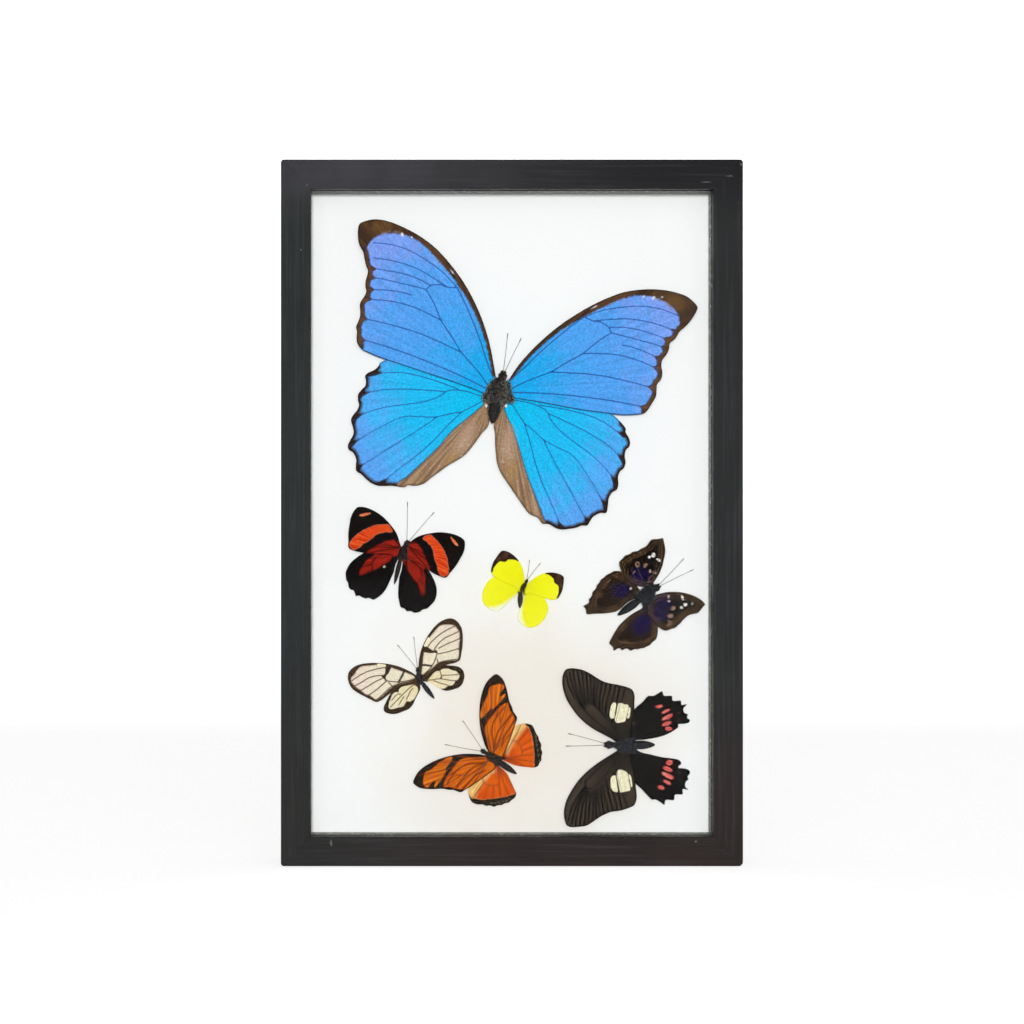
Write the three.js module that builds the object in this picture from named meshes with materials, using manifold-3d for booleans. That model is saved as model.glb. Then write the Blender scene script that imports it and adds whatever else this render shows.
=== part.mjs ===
// A deep wall frame with seven spread butterflies on a white board behind glass.
// Millimetres, +Z up. The frame stands on its bottom edge, its glass looks towards -Y, and the
// origin is the middle of the bottom face.
import * as THREE from 'three';
import { mergeVertices } from 'three/addons/utils/BufferGeometryUtils.js';
import Module from 'manifold-3d';

const wasm = await Module();
wasm.setup();

// Frame sizes
const FRAME_WIDTH = 170;
const FRAME_HEIGHT = 260;
const FRAME_DEPTH = 25;
const FACE_WIDTH = 11;
const LIP_WIDTH = 3;
const LIP_DEPTH = 2.5;
const EDGE_CHAMFER = 0.5;
const CORNER_RADIUS = 1.2;
const CORNER_STEPS = 3;
const JOINT_GAP = 0.3;

// Layers behind the lip, from the front to the back
const GLASS_THICKNESS = 2;
const RECESS_DEPTH = 12;
const BOARD_THICKNESS = 3;
const BACK_THICKNESS = 2.4;

// Fittings at the back
const POINT_LENGTH = 14;
const POINT_WIDTH = 6;
const POINT_THICKNESS = 0.6;
const POINT_BITE = 2.5;
const POINT_RISE = 70;
const STRAP_LENGTH = 17;
const STRAP_WIDTH = 9;
const STRAP_THICKNESS = 0.8;
const HANGER_DROP = 44;
const RIVET_RADIUS = 1.8;
const RIVET_HEIGHT = 0.9;
const RIVET_DROP = 8;
const RIVET_SPACING = 6;
const RING_RADIUS = 8.5;
const RING_WIRE = 1.4;
const ROUND_SIDES = 18;

// Butterflies
const FORE_LIFT_STEP = 0.3;
const BODY_SIDES = 10;
const BODY_RINGS = 6;
const BODY_FLATNESS = 0.8;
const BODY_FULLNESS = 0.7;
const ABDOMEN_SKEW = 0.85;
const ANTENNA_SIDES = 5;
const ANTENNA_RADIUS = 0.25;
const ANTENNA_CLUB = 0.4;
const CLUB_SHARE = 0.2;
const WING_SPACE = 20;

// Making the solids
const CUT_MARGIN = 1;
const MERGE_TOLERANCE = 1e-5;
const QUARTER_TURN = 90;

const FRONT_Y = -FRAME_DEPTH / 2;
const BACK_Y = FRAME_DEPTH / 2;
const CENTRE_Z = FRAME_HEIGHT / 2;
const POCKET_INSET = FACE_WIDTH - LIP_WIDTH + JOINT_GAP;
const POCKET_WIDTH = FRAME_WIDTH - 2 * POCKET_INSET;
const POCKET_HEIGHT = FRAME_HEIGHT - 2 * POCKET_INSET;
const GLASS_Y = FRONT_Y + LIP_DEPTH + JOINT_GAP;
const SPACER_Y = GLASS_Y + GLASS_THICKNESS + JOINT_GAP;
const BOARD_Y = FRONT_Y + RECESS_DEPTH;
const BACK_BOARD_Y = BOARD_Y + BOARD_THICKNESS + JOINT_GAP;
const BACK_FACE_Y = BACK_BOARD_Y + BACK_THICKNESS;

const MATERIALS = {
  blackPaint: { color: 0x37383a, roughness: 0.42, metalness: 0 },
  glass: { color: 0xf4f8f7, roughness: 0.02, metalness: 0, transparent: true, opacity: 0.15 },
  spacerPaint: { color: 0x5c5e5a, roughness: 0.7, metalness: 0 },
  whiteBoard: { color: 0xf7f7f5, roughness: 0.9, metalness: 0 },
  brownBoard: { color: 0x8a6544, roughness: 0.8, metalness: 0 },
  steel: { color: 0xa9abad, roughness: 0.35, metalness: 1 },
  brass: { color: 0xb89a55, roughness: 0.35, metalness: 1 },
};

// Wing outlines. Every outline lies in its wing's own frame: u runs from the root to the tip,
// v towards the head. The costa is the smooth leading edge, the margin is the wavy outer edge
// and the inner edge runs back to the root. The steps say how finely the smooth edges are drawn.
// A species whose two sides are set differently or worn differently has an outline for each.
const WINGS = {
  blueForeRight: {
    costa: [[-2, -1], [2, 2], [5.6, 4.5], [12, 7.9], [18.8, 10.7], [26, 13], [33, 14.5], [40, 15.5],
      [47.5, 15.9], [54, 15.5], [61, 13.6], [67, 10.9], [72, 7.5], [75.5, 3.8], [76.4, 1]],
    costaSteps: 18,
    margin: [[75.8, -0.8], [72.5, -3.3], [69.5, -4.8], [67, -5.6], [64.6, -7.4], [62, -8.3],
      [60.8, -10.2], [59.3, -11.7], [57, -13.1], [55.8, -15], [55.2, -17.5], [53.8, -19.6],
      [51.8, -20.7], [50.8, -22.6], [49.8, -24.6], [48.2, -26], [46.4, -27.3], [44.6, -28.5]],
    inner: [[42.3, -28.8], [38, -27.6], [32, -24.6], [22, -19], [11, -12], [2, -6.5], [-2, -4]],
    innerSteps: 8,
  },
  blueForeLeft: {
    costa: [[-1, 0.3], [2.6, 3], [5.4, 4.7], [12, 8.5], [19.2, 11.8], [26.8, 14.4], [35.3, 16.3],
      [44, 17.1], [52.5, 16.9], [60.7, 15.1], [68.4, 11.9], [72.2, 9.7], [74.8, 7.5], [76.8, 4.9],
      [77.8, 2.2]],
    costaSteps: 20,
    margin: [[77.3, 0.3], [74.5, -2.3], [72, -3.7], [69.5, -4.2], [67.5, -5.3], [65, -6.7],
      [63, -7.4], [61.8, -8.6], [60.5, -10.6], [59, -12.1], [57.5, -12.9], [56.5, -14.5],
      [55.8, -17], [55, -18.3], [53, -19.8], [51.8, -21], [50.8, -22.7], [49.8, -24.6],
      [48.4, -25.4], [46.8, -27], [45, -28.2], [43, -28.5]],
    inner: [[41, -28.1], [38, -26.8], [33, -24], [22, -17.5], [11, -11], [2, -6], [-2, -4]],
    innerSteps: 8,
  },
  blueHindRight: {
    costa: [[-2, 2], [2, 7], [8, 15.2], [15, 22.6], [20, 26.8], [25, 29.4], [29, 30.6], [32, 31]],
    costaSteps: 9,
    margin: [[33.4, 30.2], [35.6, 30.2], [37.6, 29.7], [38.8, 28.5], [39.2, 26.9], [40.8, 25.4],
      [43, 24.4], [44.5, 22.8], [44.8, 21], [46.2, 19.2], [48.8, 17.7], [50, 16.2], [50, 14.3],
      [51.2, 12.1], [53.4, 10.4], [55.3, 8.5], [54.2, 6.7], [54, 3.7], [54.8, 1.8], [55.6, 0],
      [54.6, -1.7], [54.1, -4.2], [53, -6.8], [52, -8.8], [50.4, -10.4], [47.6, -12],
      [46.4, -13.8], [43.6, -14.2], [42, -15.3], [40, -16.3]],
    inner: [[36, -16.6], [28, -17], [20, -17], [13, -14], [8.4, -11.4], [5.2, -9.9],
      [3.2, -6.6], [1.8, -4.4], [-2, -3]],
    innerSteps: 12,
  },
  blueHindLeft: {
    costa: [[-2, 2], [2, 7.5], [8, 16.5], [15, 24], [20, 28.4], [25.5, 30.6], [28, 30.7]],
    costaSteps: 8,
    margin: [[29.6, 29.9], [31.6, 29.4], [34, 29.6], [35.7, 29.2], [36.3, 27.6], [37.4, 26],
      [39.4, 25.3], [41.4, 24.4], [42.5, 22.6], [43, 20.9], [44.4, 19.6], [46.8, 18.6],
      [48.4, 17.4], [49.2, 14.3], [50.2, 12.4], [52.4, 11], [54, 9.8], [54.5, 8.3], [53.6, 6.4],
      [53.9, 3.6], [54.9, 2.2], [55.9, 0], [55, -1.9], [54, -5.2], [52.9, -7.3], [51.4, -8.9],
      [49.4, -10.1], [47, -11.4], [43.4, -14], [41.9, -14], [40.4, -15.1], [38.6, -16]],
    inner: [[36, -16.4], [32, -15.8], [25, -15], [18, -14.7], [11, -12], [7.6, -10.4], [4, -8.9],
      [2.4, -5.6], [1, -2.9], [-2, -2.2]],
    innerSteps: 12,
  },
  redFore: {
    costa: [[-1, -0.6], [0, 0.3], [2, 1.3], [5, 2.8], [9, 3.5], [13, 3.6], [17, 2.8], [20, 1.5],
      [21.8, 0]],
    costaSteps: 13,
    margin: [[22.2, -1.2], [21.9, -3.2], [21.1, -5.2], [19.9, -6.9], [18.5, -8.9], [17, -10.6],
      [15.6, -11.9], [14.6, -13.1], [13.4, -13.6]],
    inner: [[11.6, -12.9], [8.2, -10.7], [4.5, -7.2], [1.5, -4.6], [-1, -3.4]],
    innerSteps: 6,
  },
  redHindLeft: {
    costa: [[-1.5, 2], [3, 5], [7, 6.5], [11, 6.9], [15, 6.4], [18, 5.4], [20.2, 3.7]],
    costaSteps: 8,
    margin: [[20.9, 2.6], [21.6, 0.6], [21.4, -0.4], [21.9, -1.8], [21.7, -3.2], [20.8, -4],
      [21, -6.2], [19.9, -6.5], [19.4, -7.3], [18.2, -8.6], [17, -8.9], [15.7, -10.3]],
    inner: [[13.6, -10.2], [10.6, -9.3], [7.4, -7], [4.6, -5.2], [1.8, -3], [-1.5, -1.6]],
    innerSteps: 7,
  },
  redHindRight: {
    costa: [[-1.5, 2], [3, 4.6], [7, 5.8], [10.5, 6.2], [13.5, 6.2], [16.5, 5.3], [18.9, 3.3]],
    costaSteps: 8,
    margin: [[20, 0.9], [20.4, -0.6], [20.1, -2], [20.4, -3.4], [20.1, -5], [19.6, -5.8],
      [18.9, -6.2], [18.2, -7.8], [17.2, -8], [15.9, -9.2]],
    inner: [[14.5, -9], [12.5, -8.6], [10.5, -7.8], [6.9, -5.9], [3, -3.6], [-1.5, -1.6]],
    innerSteps: 6,
  },
  yellowFore: {
    costa: [[-0.8, -0.6], [1, 0.7], [4, 1.9], [7, 2.5], [10, 2.3], [12.8, 1.2], [14.4, -0.1]],
    costaSteps: 11,
    margin: [[14.9, -1.2], [14.5, -2.6], [13.7, -4.4], [12.9, -5.9], [11.8, -7.2], [10.5, -8.3]],
    inner: [[9, -8.6], [6.2, -7.4], [3, -5.2], [0.4, -3.4], [-1.6, -3.2]],
    innerSteps: 6,
  },
  yellowHind: {
    costa: [[-0.8, 1.4], [1.6, 5], [4.4, 7.2], [7, 7.5], [9.6, 6.4], [11.8, 4.2], [13, 1.6]],
    costaSteps: 10,
    margin: [[13.1, 0], [12.5, -1.8], [11.4, -3.2], [10, -4.2]],
    inner: [[8.6, -4.4], [6.4, -3.6], [4.2, -2.2], [1.8, -1.2], [-0.8, -0.9]],
    innerSteps: 6,
  },
  purpleForeRight: {
    costa: [[-1, -0.6], [1.5, 0.9], [5, 2.2], [9, 2.8], [13, 2.6], [16.5, 1.7], [18.9, 0.3]],
    costaSteps: 10,
    margin: [[19.4, -0.4], [18.7, -1.4], [17.8, -3.1], [17, -4], [15.4, -4.5], [13.7, -5.4],
      [12.6, -6.7], [11.7, -7.8], [11.4, -8.6], [10.4, -9.6], [9.8, -10.5], [8.3, -11.2], [6.9, -12]],
    inner: [[5.3, -12], [3.4, -11.1], [0.4, -8.8], [-1.6, -6.2]],
    innerSteps: 5,
  },
  purpleForeLeft: {
    costa: [[-1, -0.6], [1, 0.4], [4, 1.5], [7, 2.1], [10, 2.2], [14, 1.9], [17.9, 0.1]],
    costaSteps: 10,
    margin: [[17.8, -0.5], [17.2, -1.8], [16.9, -3], [16.3, -4.1], [15, -4.7], [13.6, -5.4],
      [12.2, -7.1], [11.2, -8], [10.4, -9.8], [9.4, -10.6], [8.4, -12.2], [7.2, -12.8], [6, -13.6]],
    inner: [[5, -13.6], [2.4, -12.1], [-0.5, -9.5], [-1.6, -6.2]],
    innerSteps: 5,
  },
  purpleHindRight: {
    costa: [[-1.4, 2], [0.6, 5.6], [3, 8], [5.4, 9.7], [7.7, 10.5]],
    costaSteps: 7,
    margin: [[9.2, 10], [10.7, 9.9], [12, 9.1], [13, 8.7], [13.6, 7.8], [14.6, 7.2], [15.1, 6.2],
      [16.5, 5.3], [16.6, 4], [17.1, 3.2], [18.3, 2.5], [18.1, 1.6], [18.7, 0.8], [20.1, 0.2],
      [19.4, -0.7], [19.1, -1.9], [18.8, -2.9]],
    inner: [[17, -3.3], [12, -3.7], [8, -3.1], [4.4, -2], [1.6, -0.6], [-1.4, -0.4]],
    innerSteps: 7,
  },
  purpleHindLeft: {
    costa: [[-1.4, 2], [0.6, 6.2], [2.6, 9], [4.6, 10.4], [6.8, 10.9]],
    costaSteps: 7,
    margin: [[8, 10.5], [10, 9.9], [11, 9.2], [12.3, 8.6], [13, 7.6], [14.1, 6.8], [14.6, 5.8],
      [16.2, 4.5], [16.5, 3.5], [17.3, 2.7], [18, 2.2], [18, 1.3], [18.6, 0.7], [20.4, 0.1],
      [19.9, -0.7], [19.7, -1.6], [19.8, -2.8], [19, -3.3]],
    inner: [[17.2, -3.4], [13, -4], [10, -4.1], [7.6, -3.8], [5, -2.2], [1.6, -0.8], [-1.4, -0.4]],
    innerSteps: 7,
  },
  glassForeLeft: {
    costa: [[-0.8, -0.4], [0.5, 1], [3, 2.4], [7, 4], [12, 4.9], [17, 5], [21, 4.4], [23.6, 3.1],
      [25.1, 1.3], [25.4, -0.6]],
    costaSteps: 16,
    margin: [[25, -2.4], [24.1, -4.2], [22.8, -5.4], [20.8, -6.6], [18.4, -7.8], [16.4, -8.8]],
    inner: [[14.6, -9.5], [13.2, -9.1], [11, -7.4], [8.4, -5.4], [5.4, -3.7], [2.4, -3], [-0.8, -2]],
    innerSteps: 8,
  },
  glassForeRight: {
    costa: [[-0.8, 0.2], [2, 2.3], [6, 4.2], [10, 5.2], [14, 5.5], [18, 5.1], [20.4, 4.4], [22, 3.5],
      [23.5, 2.2], [24.2, 0.4]],
    costaSteps: 16,
    margin: [[24, -1.4], [23.3, -3], [22.2, -4.4], [20, -6], [17.5, -7.4], [15, -8.5], [13.2, -9.2]],
    inner: [[12.1, -9.3], [10.8, -8.6], [9.4, -7.2], [7.6, -5.6], [5, -3.8], [2.4, -3], [-0.8, -2]],
    innerSteps: 8,
  },
  glassHindLeft: {
    costa: [[-1, 1], [2, 3], [5, 4], [8.5, 3.8], [11, 2.7], [13.5, 1.6], [15.8, 0.4]],
    costaSteps: 10,
    margin: [[16.6, -0.6], [16.6, -1.6], [16, -2.6], [14.6, -4], [12.8, -4.9], [11, -5.4], [9.4, -5.9],
      [8, -5.9], [6.6, -5.5]],
    inner: [[5, -4.7], [2.8, -3.7], [1.2, -2.9], [0.2, -2], [-1, -0.6]],
    innerSteps: 6,
  },
  glassHindRight: {
    costa: [[-1, 1], [2, 4], [5.4, 5.5], [9.5, 5.5], [13, 5.1], [14.8, 3.7], [15.4, 1.8]],
    costaSteps: 10,
    margin: [[15.2, 0.2], [14.7, -1.2], [13.6, -2.5], [12, -3.2], [10.4, -3.7]],
    inner: [[9, -4], [7, -3.5], [4.6, -2.3], [2.4, -1], [-1, -0.6]],
    innerSteps: 7,
  },
  orangeFore: {
    costa: [[-1, -0.8], [1.5, 1.6], [5, 3.2], [10, 4.6], [15, 5.1], [20, 4.9], [25, 3.7], [28, 1.9],
      [29.9, -0.4]],
    costaSteps: 15,
    margin: [[29.4, -1.8], [28.2, -3.1], [26.6, -4], [23.6, -5], [21.4, -5.5], [19.5, -6.1],
      [17.8, -7], [16.4, -7.4], [15, -8.4]],
    inner: [[13.8, -9], [11.4, -8.4], [7, -7.1], [2.6, -5.6], [-1, -4]],
    innerSteps: 6,
  },
  orangeHindLeft: {
    costa: [[-1.4, 2], [1.6, 5], [5.4, 8.4], [9, 10.1], [12, 9.8], [14.2, 8.8]],
    costaSteps: 8,
    margin: [[15, 7.9], [15.5, 6], [15.3, 4.4], [15.8, 3], [15.5, 1.6], [15.9, 0], [15.2, -1.4],
      [15.1, -2.8], [14.3, -3.9], [14, -5.3], [12.9, -6.3], [12.1, -7.4]],
    inner: [[10.4, -7.9], [7, -6.1], [3.6, -4.2], [1.8, -2.4], [0.4, -1.2], [-1.4, -0.8]],
    innerSteps: 7,
  },
  orangeHindRight: {
    costa: [[-1.4, 2], [1.5, 5.5], [4.2, 9], [6.8, 11.2], [9, 11.6], [11, 11.3], [12.4, 10.6]],
    costaSteps: 9,
    margin: [[13, 9.6], [13.7, 7], [14.3, 5.8], [14.3, 4.6], [14.9, 2.8], [14.5, 1.4], [14.8, -0.2],
      [14.2, -1.6], [14, -3], [13.1, -3.8], [12.6, -4.8], [11.4, -5.2]],
    inner: [[10.4, -5.2], [8, -4.6], [5.5, -3.9], [3.4, -3], [1.8, -2], [0.6, -1.2], [-1.4, -0.6]],
    innerSteps: 7,
  },
  pinkForeRight: {
    costa: [[-2, 0.6], [1, 1.2], [5, 2.9], [10, 5.1], [15, 6.3], [20, 6.5], [25, 5.9], [29.4, 4.1],
      [32.4, 1.6], [33.3, -0.4]],
    costaSteps: 17,
    margin: [[32.6, -2.2], [31.2, -3.8], [29.2, -5.5], [27, -6.6], [24, -7.7], [21.4, -8.8],
      [19.2, -10.4], [17, -12.4], [14.6, -14.3]],
    inner: [[12.4, -15.4], [10.4, -15], [7.6, -12.8], [4.6, -10.3], [1.6, -6.8], [-2, -3.4]],
    innerSteps: 8,
  },
  pinkForeLeft: {
    costa: [[-2, -0.4], [2, 1], [5, 2.2], [10, 4], [15, 5.2], [20, 5.6], [26, 5], [29, 4], [31, 2.9],
      [33, 1.2], [34, -0.2]],
    costaSteps: 17,
    margin: [[34.2, -1.4], [33.6, -2.8], [31.2, -5.6], [30, -6.7], [28, -7.6], [24, -9], [22.4, -9.9],
      [20.6, -11], [17.8, -13.8], [14.6, -16]],
    inner: [[13, -16.5], [11.6, -16.2], [10, -15.2], [6.8, -12.4], [4, -10], [1.6, -7], [-2, -3.4]],
    innerSteps: 8,
  },
  pinkHindRight: {
    costa: [[-2, 2.4], [0.6, 7.6], [3.8, 10.6], [7, 11.8], [10.4, 13.6]],
    costaSteps: 6,
    margin: [[12.2, 13], [14.4, 13.3], [15.9, 13.5], [16.1, 11.7], [18.7, 10.7], [18.5, 8.9],
      [21.3, 7.9], [21, 6.4], [23, 5.9], [21.3, 4.9], [21.1, 3.2], [22.1, 2.3], [21.4, 1.2],
      [22.1, 0.1], [21.4, -0.7], [19.6, -0.6], [17.5, 0], [17.3, -0.9]],
    inner: [[16, -1.5], [12, -2.2], [8, -2], [4, -1.3], [1, -0.8], [-2, -0.8]],
    innerSteps: 7,
  },
  pinkHindLeft: {
    costa: [[-2, 2.4], [0.6, 7.6], [4.6, 11.4], [7, 12.3], [11, 14.3], [12.4, 14.8]],
    costaSteps: 7,
    margin: [[13.4, 14.2], [16, 14.6], [17.3, 14.9], [17.2, 13], [19.9, 12], [19.7, 10], [22.2, 8.8],
      [21.6, 7], [23.7, 6.5], [22.4, 6], [21.8, 5], [21.7, 3.9], [22.3, 2.8], [21.6, 2], [22, 0.8],
      [21.6, -0.2], [20.4, -0.5], [18.8, -0.2], [17.4, 0.2], [17.2, -0.6], [17.8, -1.6], [17, -2.4]],
    inner: [[15.6, -2.6], [13.6, -2.2], [10, -1.3], [6, -0.8], [2.4, -0.3], [-2, -0.8]],
    innerSteps: 7,
  },
};

// The butterflies. Every place is [x, z] from the middle of the frame and every angle is in
// degrees, turning from +X towards +Z. A wing is placed by its root and the angle of its u axis.
const BUTTERFLIES = {
  blue: {
    color: 0x3a9cf4,
    bodyColor: 0x1d1714,
    wingThickness: 0.5,
    hindLift: 1.6,
    head: { at: [-2.9, 50.6], width: 3.4 },
    thorax: { at: [-4.6, 45.2], length: 10.4, width: 7, angle: 79 },
    abdomen: { from: [-5.2, 43], to: [-6.8, 33.2], width: 4.6 },
    antennae: [{ angle: 83.2, length: 16.4 }, { angle: 64.1, length: 16.1 }],
    forewing: {
      left: { outline: 'blueForeLeft', at: [-6.1, 47.6], angle: 130.9 },
      right: { outline: 'blueForeRight', at: [-1.2, 47.6], angle: 22 },
    },
    hindwing: {
      left: { outline: 'blueHindLeft', at: [-8.5, 43.1], angle: -150.6 },
      right: { outline: 'blueHindRight', at: [-0.3, 42.8], angle: -58.6 },
    },
  },
  red: {
    color: 0xb02c1c,
    bodyColor: 0x14100f,
    wingThickness: 0.4,
    hindLift: 1,
    head: { at: [-38.5, -11.6], width: 2.4 },
    thorax: { at: [-39.9, -14.8], length: 6.2, width: 2.9, angle: 66 },
    abdomen: { from: [-40.6, -16.4], to: [-43.1, -26.8], width: 2.2 },
    antennae: [{ angle: 88.8, length: 15.8 }, { angle: 49.1, length: 15.8 }],
    forewing: {
      left: { outline: 'redFore', at: [-40.7, -13.1], angle: 135.3 },
      right: { outline: 'redFore', at: [-38.8, -12], angle: 5.5, scale: 0.99 },
    },
    hindwing: {
      left: { outline: 'redHindLeft', at: [-41.3, -16.1], angle: -153.7 },
      right: { outline: 'redHindRight', at: [-38.8, -16.8], angle: -66 },
    },
  },
  yellow: {
    color: 0xf4f530,
    bodyColor: 0x3a3414,
    wingThickness: 0.35,
    hindLift: 0.5,
    head: { at: [6.1, -25.5], width: 1.3 },
    thorax: { at: [4.9, -27.6], length: 4.8, width: 1.7, angle: 60 },
    abdomen: { from: [3.95, -29.2], to: [3.65, -35.6], width: 2 },
    antennae: [{ angle: 81.4, length: 8 }, { angle: 52.2, length: 8.6 }],
    forewing: {
      left: { outline: 'yellowFore', at: [5.4, -26.5], angle: 120.3 },
      right: { outline: 'yellowFore', at: [6.1, -27], angle: 16.5, scale: 0.95 },
    },
    hindwing: {
      left: { outline: 'yellowHind', at: [3.4, -29.4], angle: -164, scale: 1.06 },
      right: { outline: 'yellowHind', at: [5.5, -29.9], angle: -78.5 },
    },
  },
  purple: {
    color: 0x3a2a1c,
    bodyColor: 0x1f1b1a,
    wingThickness: 0.4,
    hindLift: 1,
    head: { at: [54.2, -28], width: 3 },
    thorax: { at: [51, -30.5], length: 7.2, width: 4, angle: 36 },
    abdomen: { from: [48.6, -32.1], to: [39.9, -38.2], width: 3.1 },
    antennae: [{ angle: 46.4, length: 15.3 }, { angle: 26.3, length: 15.7 }],
    forewing: {
      left: { outline: 'purpleForeLeft', at: [52.7, -26.9], angle: 76.8 },
      right: { outline: 'purpleForeRight', at: [53.4, -30.9], angle: -8.5 },
    },
    hindwing: {
      left: { outline: 'purpleHindLeft', at: [47.4, -31.2], angle: -169.8 },
      right: { outline: 'purpleHindRight', at: [50.2, -34.8], angle: -125.3 },
    },
  },
  glass: {
    color: 0xf2e6c6,
    bodyColor: 0x17120f,
    wingThickness: 0.4,
    hindLift: 0.7,
    head: { at: [-34.3, -58.6], width: 1.7 },
    thorax: { at: [-33.7, -61.4], length: 5.2, width: 2.3, angle: 97 },
    abdomen: { from: [-33.1, -62.9], to: [-28.1, -69.3], width: 1.9 },
    antennae: [{ angle: 128.9, length: 12.3 }, { angle: 96.9, length: 12.7 }],
    forewing: {
      left: { outline: 'glassForeLeft', at: [-35, -61.1], angle: 179.2 },
      right: { outline: 'glassForeRight', at: [-33.2, -60.4], angle: 58.3 },
    },
    hindwing: {
      left: { outline: 'glassHindLeft', at: [-34.3, -62.8], angle: -141.8 },
      right: { outline: 'glassHindRight', at: [-32.4, -62.1], angle: -1.3 },
    },
  },
  orange: {
    color: 0xd86410,
    bodyColor: 0x1d1918,
    wingThickness: 0.4,
    hindLift: 0.8,
    head: { at: [-9.8, -88.9], width: 2 },
    thorax: { at: [-6.7, -91], length: 6.4, width: 2.6, angle: 146 },
    abdomen: { from: [-5.2, -92], to: [2.6, -97.3], width: 2.5 },
    antennae: [{ angle: 124.2, length: 14.1 }, { angle: 169.4, length: 14.8 }],
    forewing: {
      left: { outline: 'orangeFore', at: [-7.5, -91.4], angle: -163.7 },
      right: { outline: 'orangeFore', at: [-6.9, -89.9], angle: 87.9 },
    },
    hindwing: {
      left: { outline: 'orangeHindLeft', at: [-4.8, -93.6], angle: -94.1 },
      right: { outline: 'orangeHindRight', at: [-2.6, -91.4], angle: 9.1 },
    },
  },
  pink: {
    color: 0x2a251e,
    bodyColor: 0x141312,
    wingThickness: 0.4,
    hindLift: 1,
    head: { at: [37, -86.3], width: 3.2 },
    thorax: { at: [42.4, -86.4], length: 8.6, width: 3.4, angle: 180 },
    abdomen: { from: [44.6, -86.4], to: [54, -86.3], width: 3.3 },
    antennae: [{ angle: 164.7, length: 16 }, { angle: 181.8, length: 16.4 }],
    forewing: {
      left: { outline: 'pinkForeLeft', at: [40.7, -88.2], angle: -126.2 },
      right: { outline: 'pinkForeRight', at: [40.7, -85], angle: 127.6 },
    },
    hindwing: {
      left: { outline: 'pinkHindLeft', at: [46.6, -88.6], angle: -20.9 },
      right: { outline: 'pinkHindRight', at: [46.1, -84.5], angle: 19.4 },
    },
  },
};

const root = new THREE.Group();

function addMesh(name, geometry, materialValues) {
  const mesh = new THREE.Mesh(geometry, new THREE.MeshStandardMaterial(materialValues));
  mesh.name = name;
  root.add(mesh);
  return mesh;
}

function toSolid(geometry) {
  const bare = geometry.clone();
  bare.deleteAttribute('normal');
  bare.deleteAttribute('uv');
  const merged = mergeVertices(bare, MERGE_TOLERANCE);
  const vertProperties = new Float32Array(merged.attributes.position.array);
  const triVerts = new Uint32Array(merged.index.array);
  return new wasm.Manifold(new wasm.Mesh({ numProp: 3, vertProperties, triVerts }));
}

function toGeometry(solid) {
  const mesh = solid.getMesh();
  const positions = new Float32Array(mesh.vertProperties);
  const corners = new Uint32Array(mesh.triVerts);
  const geometry = new THREE.BufferGeometry();
  geometry.setAttribute('position', new THREE.BufferAttribute(positions, 3));
  geometry.setIndex(new THREE.BufferAttribute(corners, 1));
  geometry.computeVertexNormals();
  return geometry;
}

function largestPiece(solid) {
  const pieces = solid.decompose();
  return pieces.reduce((best, piece) => (piece.volume() > best.volume() ? piece : best));
}

function toShape(points) {
  return new THREE.Shape(points.map(([x, y]) => new THREE.Vector2(x, y)));
}

// Extrudes an outline in the XZ plane from frontY back to backY.
function slab(outline, frontY, backY) {
  const depth = backY - frontY;
  const geometry = new THREE.ExtrudeGeometry(toShape(outline), { depth, bevelEnabled: false });
  geometry.rotateX(Math.PI / 2);
  geometry.translate(0, backY, 0);
  return geometry;
}

function box(width, depth, height, x, y, z) {
  const geometry = new THREE.BoxGeometry(width, depth, height);
  geometry.translate(x, y, z);
  return geometry;
}

// Frame rails

// The section of a rail: w runs inwards from the outer edge, y back from the front face.
function railSection() {
  const rabbet = FACE_WIDTH - LIP_WIDTH;
  return [
    [EDGE_CHAMFER, FRONT_Y], [FACE_WIDTH - EDGE_CHAMFER, FRONT_Y], [FACE_WIDTH, FRONT_Y + EDGE_CHAMFER],
    [FACE_WIDTH, FRONT_Y + LIP_DEPTH], [rabbet, FRONT_Y + LIP_DEPTH], [rabbet, BACK_Y],
    [0, BACK_Y], [0, FRONT_Y + EDGE_CHAMFER],
  ];
}

// Points of a rounded outer corner, from 45 degrees round to the straight outer edge.
function cornerArc(length) {
  const points = [];
  for (let step = 0; step <= CORNER_STEPS; step += 1) {
    const angle = (Math.PI / 4) * (1 + step / CORNER_STEPS);
    const inward = CORNER_RADIUS * (1 - Math.sin(angle));
    points.push([-length / 2 + CORNER_RADIUS * (1 - Math.cos(angle)) + JOINT_GAP / 2, inward]);
  }
  return points;
}

// A rail along +X with its outer edge at the bottom, mitred at both ends and centred on x = 0.
function railGeometry(length) {
  const section = toShape(railSection());
  const bar = new THREE.ExtrudeGeometry(section, { depth: length, bevelEnabled: false });
  bar.rotateY(-Math.PI / 2);
  bar.translate(length / 2, 0, 0);
  const reach = FACE_WIDTH + CUT_MARGIN;
  const arc = cornerArc(length);
  const inner = [-length / 2 + reach + JOINT_GAP / 2, reach];
  const left = [inner, ...arc];
  const right = left.map(([x, w]) => [-x, w]).reverse();
  const trapezoid = slab([...left, ...right], FRONT_Y - CUT_MARGIN, BACK_Y + CUT_MARGIN);
  return toGeometry(toSolid(bar).intersect(toSolid(trapezoid)));
}

function railPlace(side) {
  const places = {
    bottom: { angle: 0, x: 0, z: 0, length: FRAME_WIDTH },
    right: { angle: Math.PI / 2, x: FRAME_WIDTH / 2, z: CENTRE_Z, length: FRAME_HEIGHT },
    top: { angle: Math.PI, x: 0, z: FRAME_HEIGHT, length: FRAME_WIDTH },
    left: { angle: -Math.PI / 2, x: -FRAME_WIDTH / 2, z: CENTRE_Z, length: FRAME_HEIGHT },
  };
  return places[side];
}

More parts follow.
